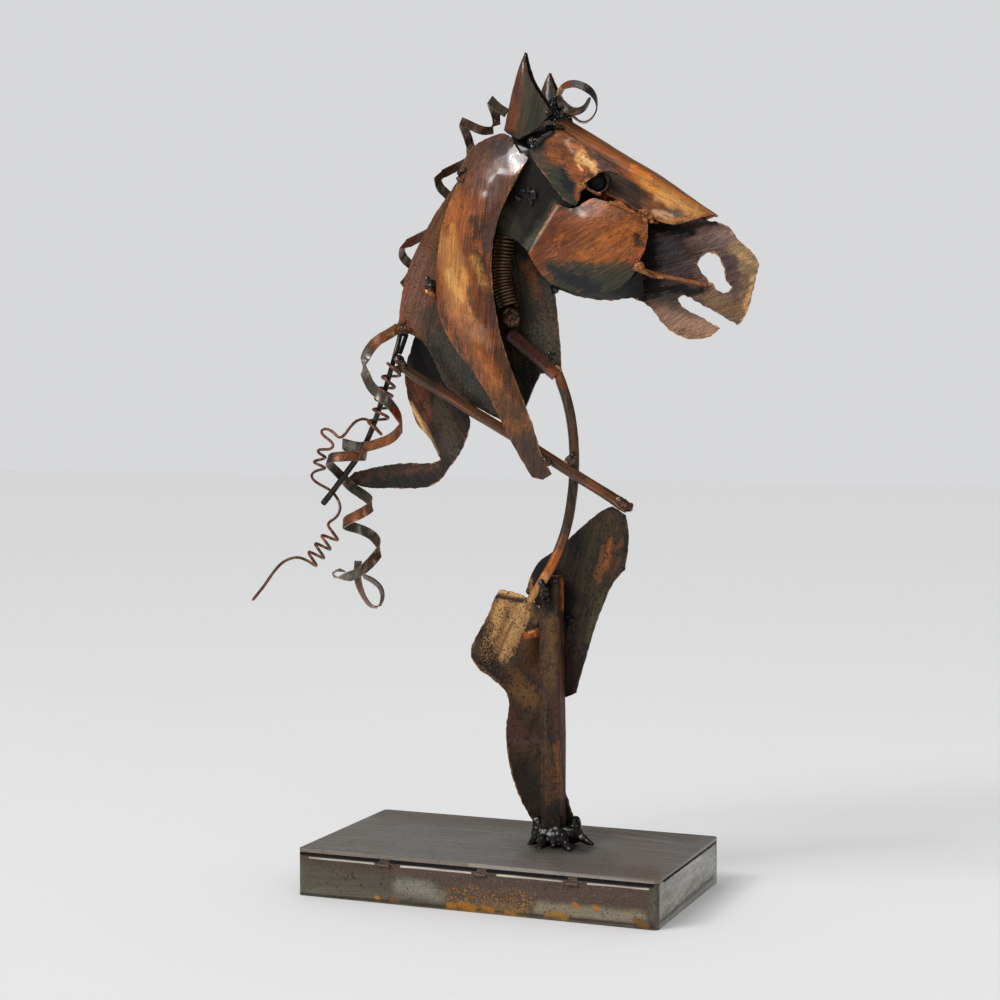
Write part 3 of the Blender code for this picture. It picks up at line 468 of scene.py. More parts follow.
    def toned(self, level):
        """Make the colour lighter or darker by a level."""
        grey = self.node("CombineColor", inputs={0: level, 1: level, 2: level}).outputs[0]
        return self.over(1.0, grey, "MULTIPLY")

    def bumped(self, height, distance):
        """Raise the face by a height, on top of what is raised already."""
        inputs = {"Height": height, "Distance": distance, "Strength": 1.0}
        if self.normal is not None:
            inputs["Normal"] = self.normal
        self.normal = self.node("Bump", inputs=inputs).outputs["Normal"]
        return self

    def near(self, a, b, radius, soft=0.6, ragged=None):
        """1 near the line from a to b and 0 past the radius, with an edge that follows the strokes.

        Depth along the line of sight counts little, so a mark lies on a domed plate as on a flat one.
        """
        sight = ((a + b) / 2 - EYE).normalized()
        off = self.vector("SUBTRACT", self.wandered if radius > THIN_MARK else self.raw, a)
        deep = self.vector("DOT_PRODUCT", off, sight * FLATTENING)
        off = self.vector("SUBTRACT", off, self.vector("SCALE", sight, deep))
        run = b - a
        run -= sight * (FLATTENING * run.dot(sight))
        if run.length > 1e-5:
            dot = self.vector("DOT_PRODUCT", off, run / run.length_squared)
            share = self.node("Math", operation="ADD", use_clamp=True, inputs={0: dot, 1: 0.0}).outputs[0]
            off = self.vector("SUBTRACT", off, self.vector("SCALE", run, share))
        ragged = self.ragged if ragged is None else ragged
        far = self.vector("LENGTH", off)
        far = self.swayed(far, self.band, ragged * min(0.010, radius * 1.5))
        far = self.swayed(far, self.fine, ragged * min(0.006, radius))
        if self.grit:
            far = self.swayed(far, self.grain, ragged * radius * self.grit)
        return self.span(far, radius * (1 + soft), radius * (1 - soft))

    def region(self, node, mark):
        """The share near a line between two sheet points on a node.

        The mark is the two points, the radius in sheet points and, where it isn't 0.6, the softness.
        """
        u, v, u2, v2, radius, *soft = mark
        return self.near(on(node, u, v)[0], on(node, u2, v2)[0], radius * POINT, *soft)

    def marked(self, node, rows):
        """Lay marks over a node, each with its colour and strength after it."""
        for *mark, colour, strength in rows:
            self.over(self.times(self.region(node, mark), strength), colour)
        return self

    def streaked(self, dark=0.66, light=1.36):
        """Lighter and darker strokes through all the colours, felt in the gloss and the relief as well."""
        both = self.sum(self.times(self.fine, 0.6), self.times(self.band, 0.4))
        self.toned(self.span(both, 0.36, 0.64, dark, light))
        self.roughness = self.swayed(self.roughness, self.fine, -0.3)
        return self.bumped(self.fine, STROKE_RELIEF)

    def rimmed(self, colour, width=0.0005, strength=0.4):
        """Wear along the cut rims, in some places only."""
        rim = self.node("Attribute", attribute_name="rim").outputs["Fac"]
        ragged = self.swayed(rim, self.noise(330, 4, 0.65), width * 6, 0.52)
        share = self.times(self.span(ragged, width, width * 0.2), self.span(self.noise(70, 3), 0.44, 0.58))
        return self.over(self.times(share, strength), colour)

    def specked(self, colour, size=0.0012, amount=0.5, strength=0.8, where=None):
        """Small specks, more where a broad noise is high, or all over a share."""
        cells = self.node("TexVoronoi", inputs={"Vector": self.wandered, "Scale": 1 / size / SPECK_GAP,
                                                "Randomness": 1.0})
        dot = self.span(cells.outputs["Distance"], 0.34, 0.14)
        keep = self.span(self.noise(75, 5, 0.65), 0.64 - 0.24 * amount, 0.72 - 0.24 * amount)
        if where is not None:
            keep = self.times(keep, where)
        return self.over(self.times(self.times(dot, keep), strength), colour)

    def mottled(self, colour, scale=650, amount=0.5, strength=0.8, where=None):
        """Small blotches that run together, more of them for a higher amount."""
        share = self.span(self.noise(scale, 3, 0.7), 0.60 - 0.2 * amount, 0.66 - 0.2 * amount, 0, strength)
        if where is not None:
            share = self.times(share, where)
        self.over(share, colour)
        return self.bumped(self.times(share, -1.0), PIT_RELIEF)

    def glossed(self, node, mark):
        """Thicker, smoother lacquer near a line on a node."""
        self.gloss = self.region(node, mark)
        self.roughness = self.times(self.roughness, self.sum(1.0, self.times(self.gloss, -0.45)))
        return self

    def grained(self, dark=0.82, light=1.18, depth=0.00006):
        """Fine grain of lacquered steel."""
        return self.toned(self.span(self.grain, 0.28, 0.72, dark, light)).bumped(self.grain, depth)

    def done(self):
        """Join the coats to the shader and hand the material over."""
        links = self.tree.links
        links.new(self.colour, self.shader.inputs["Base Color"])
        links.new(self.roughness, self.shader.inputs["Roughness"])
        if self.normal is not None:
            links.new(self.normal, self.shader.inputs["Normal"])
        if self.gloss is not None:
            links.new(self.sum(self.gloss, self.shader.inputs["Coat Weight"].default_value),
                      self.shader.inputs["Coat Weight"])
        return self.material


def direction(node, start, end):
    """The way from one sheet point to another on a node."""
    return (on(node, *end)[0] - on(node, *start)[0]).normalized()


def wear(piece, material):
    """Give a piece one material."""
    piece.data.materials.clear()
    piece.data.materials.append(material)
    return piece
# The finishes of this work. A mark is two sheet points, a radius in sheet points, where needed a softness,
# and then a colour and its strength


def mane_copper():
    f = Finish("mane_copper", (DARK_BROWN, BROWN, RED_BROWN, (134, 74, 32), COPPER),
               direction("mane_front", (462, 200), (452, 300)), seed=1, coat=0.45, grit=0.5)
    f.marked("mane_front", (
        (466, 148, 515, 144, 20, (78, 52, 38), 0.85), (500, 150, 524, 158, 11, (56, 48, 48), 0.8),
        (466, 170, 506, 186, 16, (92, 60, 44), 0.8), (500, 178, 490, 245, 10, (76, 52, 42), 0.85),
        (452, 190, 447, 235, 7, (160, 92, 42), 0.7), (464, 205, 456, 245, 9, COPPER, 0.6),
        (473, 217, 476, 236, 4, DARK_BROWN, 0.75), (475, 254, 483, 268, 4, DARK_BROWN, 0.75),
        (447, 246, 458, 296, 11, (190, 126, 68), 0.75), (452, 226, 451, 276, 3, (188, 126, 66), 0.7),
        (450, 274, 460, 300, 5, (214, 160, 92), 0.7), (462, 268, 470, 318, 3, (196, 136, 74), 0.65),
        (474, 258, 486, 290, 4, (188, 130, 66), 0.65), (464, 240, 468, 262, 3, (98, 60, 38), 0.6),
        (470, 290, 474, 312, 3, (110, 68, 42), 0.6), (486, 290, 493, 322, 6, (76, 48, 32), 0.8),
        (455, 308, 476, 335, 9, (176, 114, 68), 0.7), (480, 331, 488, 345, 5, (150, 106, 84), 0.5),
        (474, 350, 502, 396, 8, (132, 76, 26), 0.75), (478, 352, 496, 384, 3, (164, 92, 38), 0.6),
        (494, 300, 508, 352, 6, (74, 52, 42), 0.75), (500, 352, 522, 408, 8, (76, 50, 30), 0.85),
        (504, 404, 527, 440, 11, (86, 54, 20), 0.9), (512, 420, 523, 440, 4, (118, 70, 26), 0.5),
        (520, 444, 544, 476, 13, (62, 44, 30), 0.9)))
    pits = f.region("mane_front", (476, 216, 486, 276, 10))
    f.mottled((58, 40, 30), 800, 0.25, 0.8, pits).glossed("mane_front", (510, 140, 522, 160, 9))
    return f.streaked().specked(DARK_BROWN, 0.0012, 0.5).rimmed(TAN).grained().done()


def mane_brown():
    f = Finish("mane_brown", (DARK_BROWN, DARK_BROWN, BROWN, BROWN, RED_BROWN),
               direction("mane_back", (440, 230), (415, 300)), seed=2, grit=0.8)
    f.marked("mane_back", (
        (455, 190, 425, 245, 14, (104, 64, 36), 0.75), (418, 262, 410, 322, 15, (116, 78, 62), 0.85),
        (404, 285, 400, 320, 3, (150, 84, 46), 0.6), (432, 270, 430, 300, 5, (108, 64, 40), 0.6),
        (428, 318, 452, 345, 12, (66, 54, 46), 0.85), (440, 352, 492, 410, 18, (50, 49, 41), 0.95)))
    f.mottled((64, 44, 36), 600, 0.25, 0.6).mottled((150, 112, 96), 1000, 0.0, 0.5)
    return f.streaked(0.7, 1.3).specked(SOOT, 0.0012, 0.5).rimmed(COPPER).grained(0.7, 1.3, 0.00015).done()


def lock_dark():
    f = Finish("lock_dark", (SOOT, DARK_BROWN, DARK_BROWN, BROWN),
               direction("mane_lock", (420, 380), (450, 430)), seed=3, grit=0.6)
    f.marked("mane_lock", (
        (408, 345, 435, 372, 15, BLACK, 0.95), (414, 384, 426, 412, 9, (104, 56, 34), 0.85),
        (440, 400, 452, 450, 9, (70, 60, 46), 0.8), (456, 396, 462, 430, 5, (52, 44, 36), 0.7),
        (360, 478, 410, 472, 6, (74, 44, 32), 0.7), (375, 482, 430, 482, 6, SOOT, 0.9),
        (410, 470, 436, 466, 3, (90, 60, 42), 0.7)))
    f.mottled(BLACK, 300, 0.3, 0.6)
    f.marked("mane_lock", (
        # The pale marks along the left rim are a worn edge with painted highlights on it.
        (408, 404, 424, 428, 2, (222, 170, 110), 0.95),
        (422, 426, 430, 438, 1.3, (222, 170, 110), 0.85), (424, 424, 437, 454, 2, (160, 120, 80), 0.7)))
    return f.streaked(0.6, 1.4).rimmed((170, 110, 66), 0.0006, 0.7).grained(0.7, 1.3, 0.00012).done()


def throat_dark():
    f = Finish("throat_dark", (SOOT, DARK_BROWN, GREEN_BROWN, GREEN_BROWN),
               direction("neck_plate", (530, 262), (545, 350)), seed=4, width=0.0008, coat=0.35, grit=0.8)
    f.marked("neck_plate", (
        (520, 240, 528, 262, 8, SOOT, 0.8), (528, 266, 538, 296, 6, (120, 72, 40), 0.8),
        (544, 276, 552, 300, 4, (58, 60, 54), 0.6), (540, 300, 552, 330, 10, (86, 68, 54), 0.75),
        (540, 330, 556, 366, 12, (78, 74, 60), 0.75), (520, 372, 536, 400, 12, SOOT, 0.9)))
    f.mottled((34, 30, 24), 520, 0.35, 0.6)
    return f.streaked(0.8, 1.2).rimmed((140, 92, 60), 0.0006, 0.6).grained(0.55, 1.45, 0.0004).done()


def skull_black():
    f = Finish("skull_black", (BLACK, SOOT, SOOT, GREEN_BLACK),
               direction("skull_near", (520, 200), (505, 235)), seed=5, coat=0.35)
    f.marked("skull_near", (
        (500, 212, 514, 232, 9, (58, 56, 42), 0.7), (556, 208, 526, 250, 6, (74, 74, 58), 0.8),
        (541, 155, 556, 175, 7, DARK_BROWN, 0.6)))
    return f.streaked(0.55, 1.5).specked(DARK_BROWN, 0.0012, 0.4).rimmed(BROWN).grained().done()


def cheek_copper():
    f = Finish("cheek_copper", (DARK_BROWN, BROWN, RED_BROWN, COPPER, COPPER),
               direction("cheek_near", (565, 255), (615, 226)), seed=6, coat=0.3, width=0.0008)
    f.marked("cheek_near", (
        (552, 214, 540, 262, 11, (98, 50, 28), 0.9), (572, 216, 566, 262, 11, (114, 60, 28), 0.85),
        (590, 215, 632, 236, 16, (136, 76, 32), 0.75), (582, 256, 632, 246, 10, (148, 82, 32), 0.8),
        (600, 240, 634, 226, 5, (172, 100, 42), 0.6), (596, 205, 616, 214, 7, (128, 82, 54), 0.6),
        (550, 266, 634, 268, 5, (62, 56, 34), 0.85), (556, 278, 632, 280, 11, (54, 53, 36), 0.97),
        (560, 290, 618, 294, 9, (48, 48, 36), 0.97), (552, 270, 580, 280, 5, (25, 28, 32), 0.97),
        (572, 280, 598, 290, 5, (22, 23, 24), 0.95), (606, 268, 628, 262, 3, (84, 64, 34), 0.7),
        (539, 262, 550, 279, 2.6, (104, 58, 32), 0.85), (572, 214, 588, 207, 3.5, (80, 56, 40), 0.8),
        # The pale line from (557, 207) to (530, 250) is a painted highlight along the raised fold edge.
        (564, 206, 576, 206, 3.5, (60, 48, 36), 0.8), (557, 207, 530, 250, 1.3, (150, 128, 108), 0.9),
        (636, 236, 641, 246, 3.5, SOOT, 0.8), (642, 250, 636, 262, 3.5, (176, 84, 34), 0.8)))
    return f.streaked(0.6, 1.35).specked(DARK_BROWN, 0.0011, 0.4).rimmed((116, 80, 44)).grained().done()


def jaw_black():
    f = Finish("jaw_black", (BLACK, BLACK, BLACK, SOOT), direction("jaw_near", (570, 284), (620, 292)),
               seed=7, rough=0.75, metallic=0, coat=0)
    return f.streaked().grained().done()


def brow_copper():
    f = Finish("brow_copper", (SOOT, DARK_BROWN, (66, 42, 26), (84, 50, 28), (120, 66, 28)),
               direction("brow_near", (545, 160), (600, 176)), seed=8, rough=0.62, metallic=0.1, coat=0.12,
               grit=0.6)
    f.marked("brow_near", (
        (534, 146, 556, 140, 8, (46, 42, 38), 0.9), (556, 142, 584, 160, 9, (138, 76, 26), 0.9),
        (556, 146, 572, 156, 3, (96, 48, 20), 0.7), (566, 142, 580, 151, 3, (170, 94, 32), 0.8),
        (594, 156, 616, 168, 5, (92, 62, 42), 0.85), (550, 158, 572, 172, 8, (142, 78, 40), 0.85),
        (574, 158, 580, 170, 6, (122, 70, 30), 0.85), (536, 160, 556, 184, 8, (74, 64, 50), 0.85),
        (558, 176, 574, 202, 10, (50, 52, 38), 0.95), (562, 174, 568, 188, 4, (24, 27, 28), 0.97),
        # The tan marks from (581, 157) to (596, 170) and from (583, 158) to (592, 166) are a painted
        # highlight on the ridge.
        (577, 180, 580, 198, 3, (150, 74, 26), 0.85), (581, 157, 596, 170, 5, (206, 148, 84), 0.97),
        (583, 158, 592, 166, 2, (232, 186, 126), 0.8), (600, 163, 616, 172, 4, (84, 60, 54), 0.9),
        (576, 166, 583, 173, 4, (150, 80, 36), 0.95), (578, 165, 582, 170, 1.4, (226, 160, 120), 0.9),
        # The black line from (600, 173) to (620, 176) is painted shade for the underside of the curled lip
        # over the eye.
        (580, 186, 588, 182, 3, (196, 126, 58), 0.85), (600, 173, 620, 176, 2.4, BLACK, 0.95)))
    f.mottled(SOOT, 420, 0.05, 0.7).glossed("brow_near", (536, 148, 543, 144, 5))
    return f.streaked(0.6, 1.35).specked(DARK_BROWN, 0.0013, 0.6).rimmed(TAN).grained().done()


def nose_copper():
    f = Finish("nose_copper", (DARK_BROWN, BROWN, RED_BROWN, COPPER, COPPER),
               direction("nose_plate", (600, 160), (680, 205)), seed=9, length=0.045, coat=0.3)
    f.marked("nose_plate", (
        (566, 122, 592, 140, 9, (112, 64, 30), 0.85), (588, 140, 640, 172, 9, (152, 82, 30), 0.85),
        (580, 150, 612, 164, 5, (80, 52, 32), 0.85), (640, 176, 700, 210, 9, (182, 112, 50), 0.8),
        (612, 180, 638, 200, 11, (54, 40, 32), 0.97), (606, 172, 622, 182, 5, (74, 54, 40), 0.8),
        (633, 168, 648, 178, 3.5, (214, 116, 30), 0.9), (645, 180, 668, 198, 5, (206, 136, 62), 0.85),
        (662, 196, 694, 211, 6, (208, 148, 84), 0.85), (600, 141, 712, 211, 1.6, (120, 76, 50), 0.6),
        (643, 200, 658, 210, 4, (110, 74, 44), 0.6), (655, 212, 671, 217, 3.5, (204, 156, 116), 0.85),
        (676, 213, 684, 221, 3.2, (76, 66, 50), 0.8), (660, 222, 690, 220, 2.6, (186, 126, 64), 0.85),
        (690, 213, 704, 214, 3, (178, 120, 66), 0.7)))
    return f.streaked(0.65, 1.35).specked(DARK_BROWN, 0.0012, 0.4).rimmed(TAN).grained().done()


def muzzle_purple():
    f = Finish("muzzle_purple", ((48, 36, 33), (74, 56, 51), (94, 74, 68), (112, 88, 78)),
               direction("head_core", (670, 250), (720, 236)), seed=10, width=0.0007, length=0.014,
               rough=0.55, coat=0.08, grit=0.8)
    f.marked("head_core", (
        (664, 246, 678, 268, 11, (80, 74, 80), 0.9), (672, 262, 690, 280, 5, (84, 66, 62), 0.7),
        (694, 240, 730, 234, 8, (128, 102, 90), 0.8), (700, 246, 726, 244, 5, (104, 82, 74), 0.6),
        (733, 230, 736, 240, 4, (134, 104, 80), 0.8), (736, 248, 754, 262, 8, (146, 116, 84), 0.95),
        (741, 256, 750, 262, 3, (176, 138, 92), 0.7), (744, 268, 753, 277, 6, (138, 110, 80), 0.85),
        (727, 262, 736, 284, 6, (70, 54, 58), 0.9), (753, 278, 744, 318, 3, (176, 136, 88), 0.9),
        (743, 280, 738, 308, 6, (116, 90, 64), 0.85), (734, 262, 736, 300, 4, (84, 62, 56), 0.8),
        (704, 292, 736, 314, 8, (116, 90, 62), 0.85), (724, 300, 734, 314, 4, (110, 84, 58), 0.6),
        (690, 282, 704, 288, 5, (72, 54, 50), 0.8), (655, 294, 676, 308, 8, (76, 70, 60), 0.85),
        (643, 298, 664, 318, 3.5, (112, 72, 60), 0.8), (662, 318, 706, 332, 12, (162, 124, 102), 0.9),
        (680, 334, 706, 334, 3, (160, 126, 92), 0.6), (676, 306, 690, 314, 4.5, (104, 88, 72), 0.7),
        # The black and soot marks from (642, 225) on are painted shadow under the nose and painted shade
        # beside the cheek, under the bit rod and under the jaw.
        (668, 332, 708, 336, 3, (130, 92, 70), 0.6), (642, 225, 690, 230, 6, BLACK, 0.97),
        (690, 226, 718, 219, 3.5, (44, 34, 30), 0.9), (646, 232, 652, 290, 9, BLACK, 0.95),
        (640, 287, 700, 291, 4, SOOT, 0.9), (600, 292, 640, 299, 9, BLACK, 0.95)))
    way = direction("head_core", (700, 300), (740, 270))
    cross = f.strokes(0.012, 0.0005, turn=way.to_track_quat("X", "Z").to_euler())
    f.toned(f.span(cross, 0.38, 0.62, 0.76, 1.24)).bumped(cross, STROKE_RELIEF)
    f.streaked(0.75, 1.25).specked(SOOT, 0.0011, 0.4).rimmed(TAN, 0.0008, 0.7)
    return f.grained(0.75, 1.25).done()


def ear_brown():
    f = Finish("ear_brown", (SOOT, DARK_BROWN, (60, 46, 32), (70, 52, 34)),
               direction("ear_near", (522, 80), (514, 125)), seed=11, coat=0.4)
    f.marked("ear_near", (
        (519, 70, 506, 128, 2.4, (112, 62, 34), 0.85), (517, 100, 512, 128, 4, (116, 66, 34), 0.75),
        (524, 62, 518, 98, 4, (74, 46, 32), 0.85), (530, 84, 526, 125, 5, (58, 52, 34), 0.85),
        (538, 105, 532, 128, 6, (42, 40, 30), 0.85), (528, 58, 545, 100, 2.5, SOOT, 0.9)))
    f.marked("ear_far", ((545, 74, 538, 108, 3, (86, 54, 38), 0.7), (546, 96, 552, 112, 5, SOOT, 0.8)))
    return f.streaked(0.75, 1.25).rimmed(BROWN).grained().done()


def poll_dark():
    f = Finish("poll_dark", (BLACK, BLACK, SOOT, DARK_BROWN), (1, 0, 0.2), seed=12, metallic=0.1, coat=0.3)
    return f.streaked().grained(0.7, 1.3, 0.0003).done()


def strip_wear_and_highlights():
    f = Finish("strip_wear_and_highlights", (SOOT, DARK_BROWN, (90, 74, 62), (100, 88, 78), RED_BROWN), (0.3, 0.1, 1),
               seed=13, rough=0.32, metallic=0.6, coat=0.5, length=0.012, width=0.0008)
    f.marked("hanging_curl", (
        # The light grey marks at (366, 352), (353, 446) and (355, 574) are painted highlights at the turns.
        (396, 328, 374, 344, 6, (140, 86, 50), 0.9), (366, 352, 364, 372, 5, (120, 112, 104), 0.75),
        (372, 388, 392, 404, 6, (84, 78, 72), 0.8), (398, 412, 401, 426, 6, (150, 66, 28), 0.85),
        (392, 438, 370, 446, 5, (140, 80, 44), 0.9), (353, 446, 344, 444, 4, (136, 132, 126), 0.9),
        (341, 457, 362, 455, 4.5, (130, 78, 48), 0.85), (330, 462, 345, 480, 5, (80, 58, 42), 0.8),
        (354, 490, 370, 500, 5, (84, 78, 70), 0.8), (366, 510, 345, 521, 5, (134, 82, 50), 0.8),
        (352, 527, 372, 536, 5, (78, 74, 62), 0.8), (379, 545, 372, 562, 5, (84, 54, 36), 0.9),
        (355, 574, 336, 578, 5, (128, 120, 110), 0.6)))
    f.marked("curl_loop", ((362, 592, 378, 607, 8, (112, 66, 42), 0.85),))
    f.marked("forelock", (
        (576, 119, 592, 120, 5, (90, 66, 50), 0.8), (570, 84, 580, 85, 4, (96, 100, 106), 0.7),
        # The pale mark at (556, 90) is a painted highlight on the forelock's end.
        (561, 86, 568, 84, 4, (150, 76, 34), 0.85), (556, 90, 560, 88, 3, PALE, 0.9),
        (590, 92, 596, 108, 6, SOOT, 0.85)))
    f.marked("mane_curl", (
        (505, 112, 492, 100, 7, (66, 58, 44), 0.85), (495, 125, 465, 122, 7, (84, 58, 40), 0.85),
        (466, 150, 440, 177, 7, (80, 52, 34), 0.85), (430, 233, 404, 246, 7, (108, 62, 38), 0.8)))
    return f.streaked(0.75, 1.25).rimmed(PALE, 0.0003, 0.4).grained().done()


def wire_rust():
    f = Finish("wire_rust", (DARK_BROWN, BROWN, (112, 64, 38), (146, 86, 52)), (0.3, 0.1, 1),
               seed=14, rough=0.4, coat=0.4, length=0.008)
    return f.streaked(0.7, 1.3).grained().done()


def rod_dark():
    f = Finish("rod_dark", (BLACK, SOOT, SOOT, (70, 62, 54)), (0.35, 0.1, -1), seed=15, rough=0.3,
               metallic=0.5, coat=0.4)
    return f.streaked(0.7, 1.3).specked(BROWN, 0.0012, 0.6).grained().done()


def rod_brown():
    f = Finish("rod_brown", (DARK_BROWN, (64, 50, 38), (76, 60, 46), BROWN), (0.0, 0.1, -1),
               seed=16, rough=0.36, coat=0.35, grit=0.6)
    f.marked("curved_rod", (
        (556, 372, 562, 386, 4, (120, 66, 36), 0.8), (572, 425, 575, 452, 4, (96, 62, 40), 0.7),
        (564, 540, 558, 556, 5, (112, 70, 42), 0.8), (557, 556, 540, 586, 6, (166, 90, 34), 0.9),
        (544, 578, 529, 603, 5, (190, 132, 76), 0.85)))
    f.marked("neck_bar", (
        (510, 336, 556, 372, 7, (84, 50, 42), 0.8), (550, 372, 556, 378, 5, (146, 78, 44), 0.8)))
    return f.streaked(0.75, 1.25).specked(SOOT, 0.0012, 0.5).grained().done()


def rod_copper():
    f = Finish("rod_copper", (DARK_BROWN, BROWN, (110, 66, 40), (150, 92, 56)),
               direction("cross_rod", (420, 378), (600, 492)), seed=17, rough=0.34, coat=0.4)
    f.marked("cross_rod", (
        (399, 366, 440, 390, 6, (66, 48, 32), 0.8), (440, 388, 500, 426, 4, (96, 62, 38), 0.6),
        (500, 424, 600, 490, 3, (128, 76, 42), 0.5), (548, 460, 580, 480, 6, (74, 52, 38), 0.8)))
    f.marked("bit_rod", ((640, 268, 705, 284, 4, (160, 94, 48), 0.85),))
    return f.streaked(0.65, 1.35).specked(SOOT, 0.0012, 0.5).grained().done()


def spring_black():
    f = Finish("spring_black", (DARK_BROWN, BROWN, (96, 72, 54), (120, 92, 72)), (1, 0, 0.2),
               seed=18, rough=0.36, metallic=0.5, coat=0.5)
    return f.grained().done()


def post_brown():
    f = Finish("post_brown", (SOOT, DARK_BROWN, (70, 44, 24), (82, 52, 28)), (0.02, 0, 1), seed=19,
               rough=0.7, metallic=0.05, length=0.008, width=0.0024, coat=0.05, grit=0.9)
    f.marked("post", (
        (543, 582, 548, 604, 7, BLACK, 0.95), (556, 582, 558, 600, 5, (60, 42, 30), 0.8),
        (563, 580, 564, 606, 2.6, (170, 90, 34), 0.85), (550, 620, 552, 690, 5, (92, 66, 34), 0.65),
        (556, 690, 558, 740, 4, (76, 46, 32), 0.6), (557, 745, 561, 795, 3.2, (128, 76, 32), 0.55),
        (549, 748, 550, 800, 2.4, (84, 56, 32), 0.5), (565, 620, 566, 780, 1.6, (116, 62, 44), 0.6),
        # The faint light line from (545, 640) to (546, 800) is a painted highlight down the post's left
        # edge.
        (545, 640, 546, 800, 1.2, (106, 76, 50), 0.2), (552, 812, 557, 834, 8, SOOT, 0.9)))
    f.mottled((34, 26, 20), 380, 0.3, 0.65).mottled((120, 78, 44), 900, 0.0, 0.5)
    return f.streaked(0.8, 1.2).specked(SOOT, 0.0013, 0.8).rimmed(RED_BROWN).grained().done()


def leg_rust_and_edge_light():
    f = Finish("leg_rust_and_edge_light", (SOOT, DARK_BROWN, (62, 46, 30), (72, 56, 36), BROWN),
               direction("leg_plate", (490, 665), (515, 620)), seed=20, rough=0.6, metallic=0.15, coat=0.05,
               grit=0.9)
    f.marked("leg_plate", (
        (522, 640, 538, 668, 10, (92, 60, 34), 0.85), (508, 606, 486, 650, 14, (160, 116, 68), 0.9),
        (524, 610, 505, 660, 7, 0.25, (186, 142, 90), 0.9), (508, 612, 496, 640, 2, (120, 84, 52), 0.7),
        (500, 604, 490, 640, 4, (196, 148, 88), 0.7), (530, 606, 534, 620, 4, (120, 84, 48), 0.8),
        # Along the flap's top edge, the tan line from (500, 591) is a painted highlight and the dark line
        # under it from (496, 596) is painted shade.
        (500, 591, 524, 596, 1.8, (206, 160, 104), 0.9), (496, 596, 522, 601, 1.8, (34, 24, 20), 0.9),
        (481, 628, 474, 658, 4, (64, 46, 32), 0.85), (478, 666, 502, 686, 2, (150, 108, 62), 0.8),
        (526, 634, 537, 632, 3.5, (196, 98, 36), 0.95), (510, 676, 530, 700, 10, (118, 82, 46), 0.8),
        (506, 712, 522, 745, 9, (88, 56, 40), 0.75), (512, 742, 538, 740, 2.5, (96, 70, 66), 0.5),
        (520, 770, 545, 815, 14, (42, 34, 26), 0.85), (560, 815, 572, 830, 8, BLACK, 0.9)))
    flap = f.region("leg_plate", (506, 612, 490, 655, 20))
    foot = f.region("leg_plate", (484, 626, 488, 656, 9))
    low = f.region("leg_plate", (482, 662, 504, 676, 11))
    edge = f.region("leg_plate", (530, 618, 508, 664, 5))
    f.mottled((44, 30, 22), 700, 0.2, 0.85, flap).mottled(BLACK, 1000, 0.75, 0.9, foot)
    f.mottled(BLACK, 1000, 0.85, 0.9, low).mottled(BLACK, 900, 0.5, 0.85, edge).mottled(SOOT, 420, 0.1, 0.7)
    f.specked(BLACK, 0.0014, 0.7, 0.9)
    return f.rimmed((170, 120, 70), 0.0006, 0.7).grained(0.7, 1.3, 0.0001).done()


def chest_dark():
    f = Finish("chest_dark", (BLACK, SOOT, (38, 30, 22), DARK_BROWN, (52, 42, 28)),
               direction("chest_plate", (585, 600), (605, 530)), seed=21, rough=0.6, metallic=0.15,
               coat=0.1, grit=1.0)
    f.marked("chest_plate", (
        (604, 520, 586, 590, 11, (66, 52, 24), 0.55), (615, 525, 606, 596, 9, (74, 54, 24), 0.55),
        (611, 540, 605, 566, 3, (150, 82, 30), 0.6), (604, 548, 598, 582, 3, (124, 74, 30), 0.55),
        (621, 540, 612, 572, 3, (104, 66, 34), 0.5), (540, 566, 572, 612, 14, BLACK, 0.9),
        (530, 590, 527, 578, 2.5, (170, 120, 74), 0.7), (600, 596, 588, 640, 4, (70, 66, 40), 0.7),
        (578, 610, 572, 650, 7, (66, 46, 30), 0.6), (566, 645, 578, 690, 9, (48, 30, 26), 0.8)))
    f.mottled(BLACK, 420, 0.25, 0.75)
    return f.streaked(0.6, 1.4).specked(BLACK, 0.0013, 0.7).rimmed(COPPER).grained().done()


def weld_dark():
    f = Finish("weld_dark", (BLACK, BLACK, SOOT, DARK_BROWN), (1, 0, 0.3), seed=22, rough=0.4,
               metallic=0.3, coat=0.5, length=0.005, width=0.002)
    return f.specked(BROWN, 0.0016, 0.3, 0.5).grained(0.85, 1.15, 0.00003).done()


def weld_worn(name, base, seed, **settings):
    """Beads of one colour, speckled with soot."""
    f = Finish(name, base, (1, 0, 0.3), seed=seed, length=0.005, width=0.002, **settings)
    return f.specked(SOOT, 0.0012, 0.4).grained().done()


def box_finish(name, seed, way, base):
    """The ground steel of the box, whose marks wander little."""
    return Finish(name, base, way, seed=seed, rough=0.46, metallic=0.3, coat=0.15, length=0.045,
                  width=0.0008, grit=0.5, ragged=0.4)


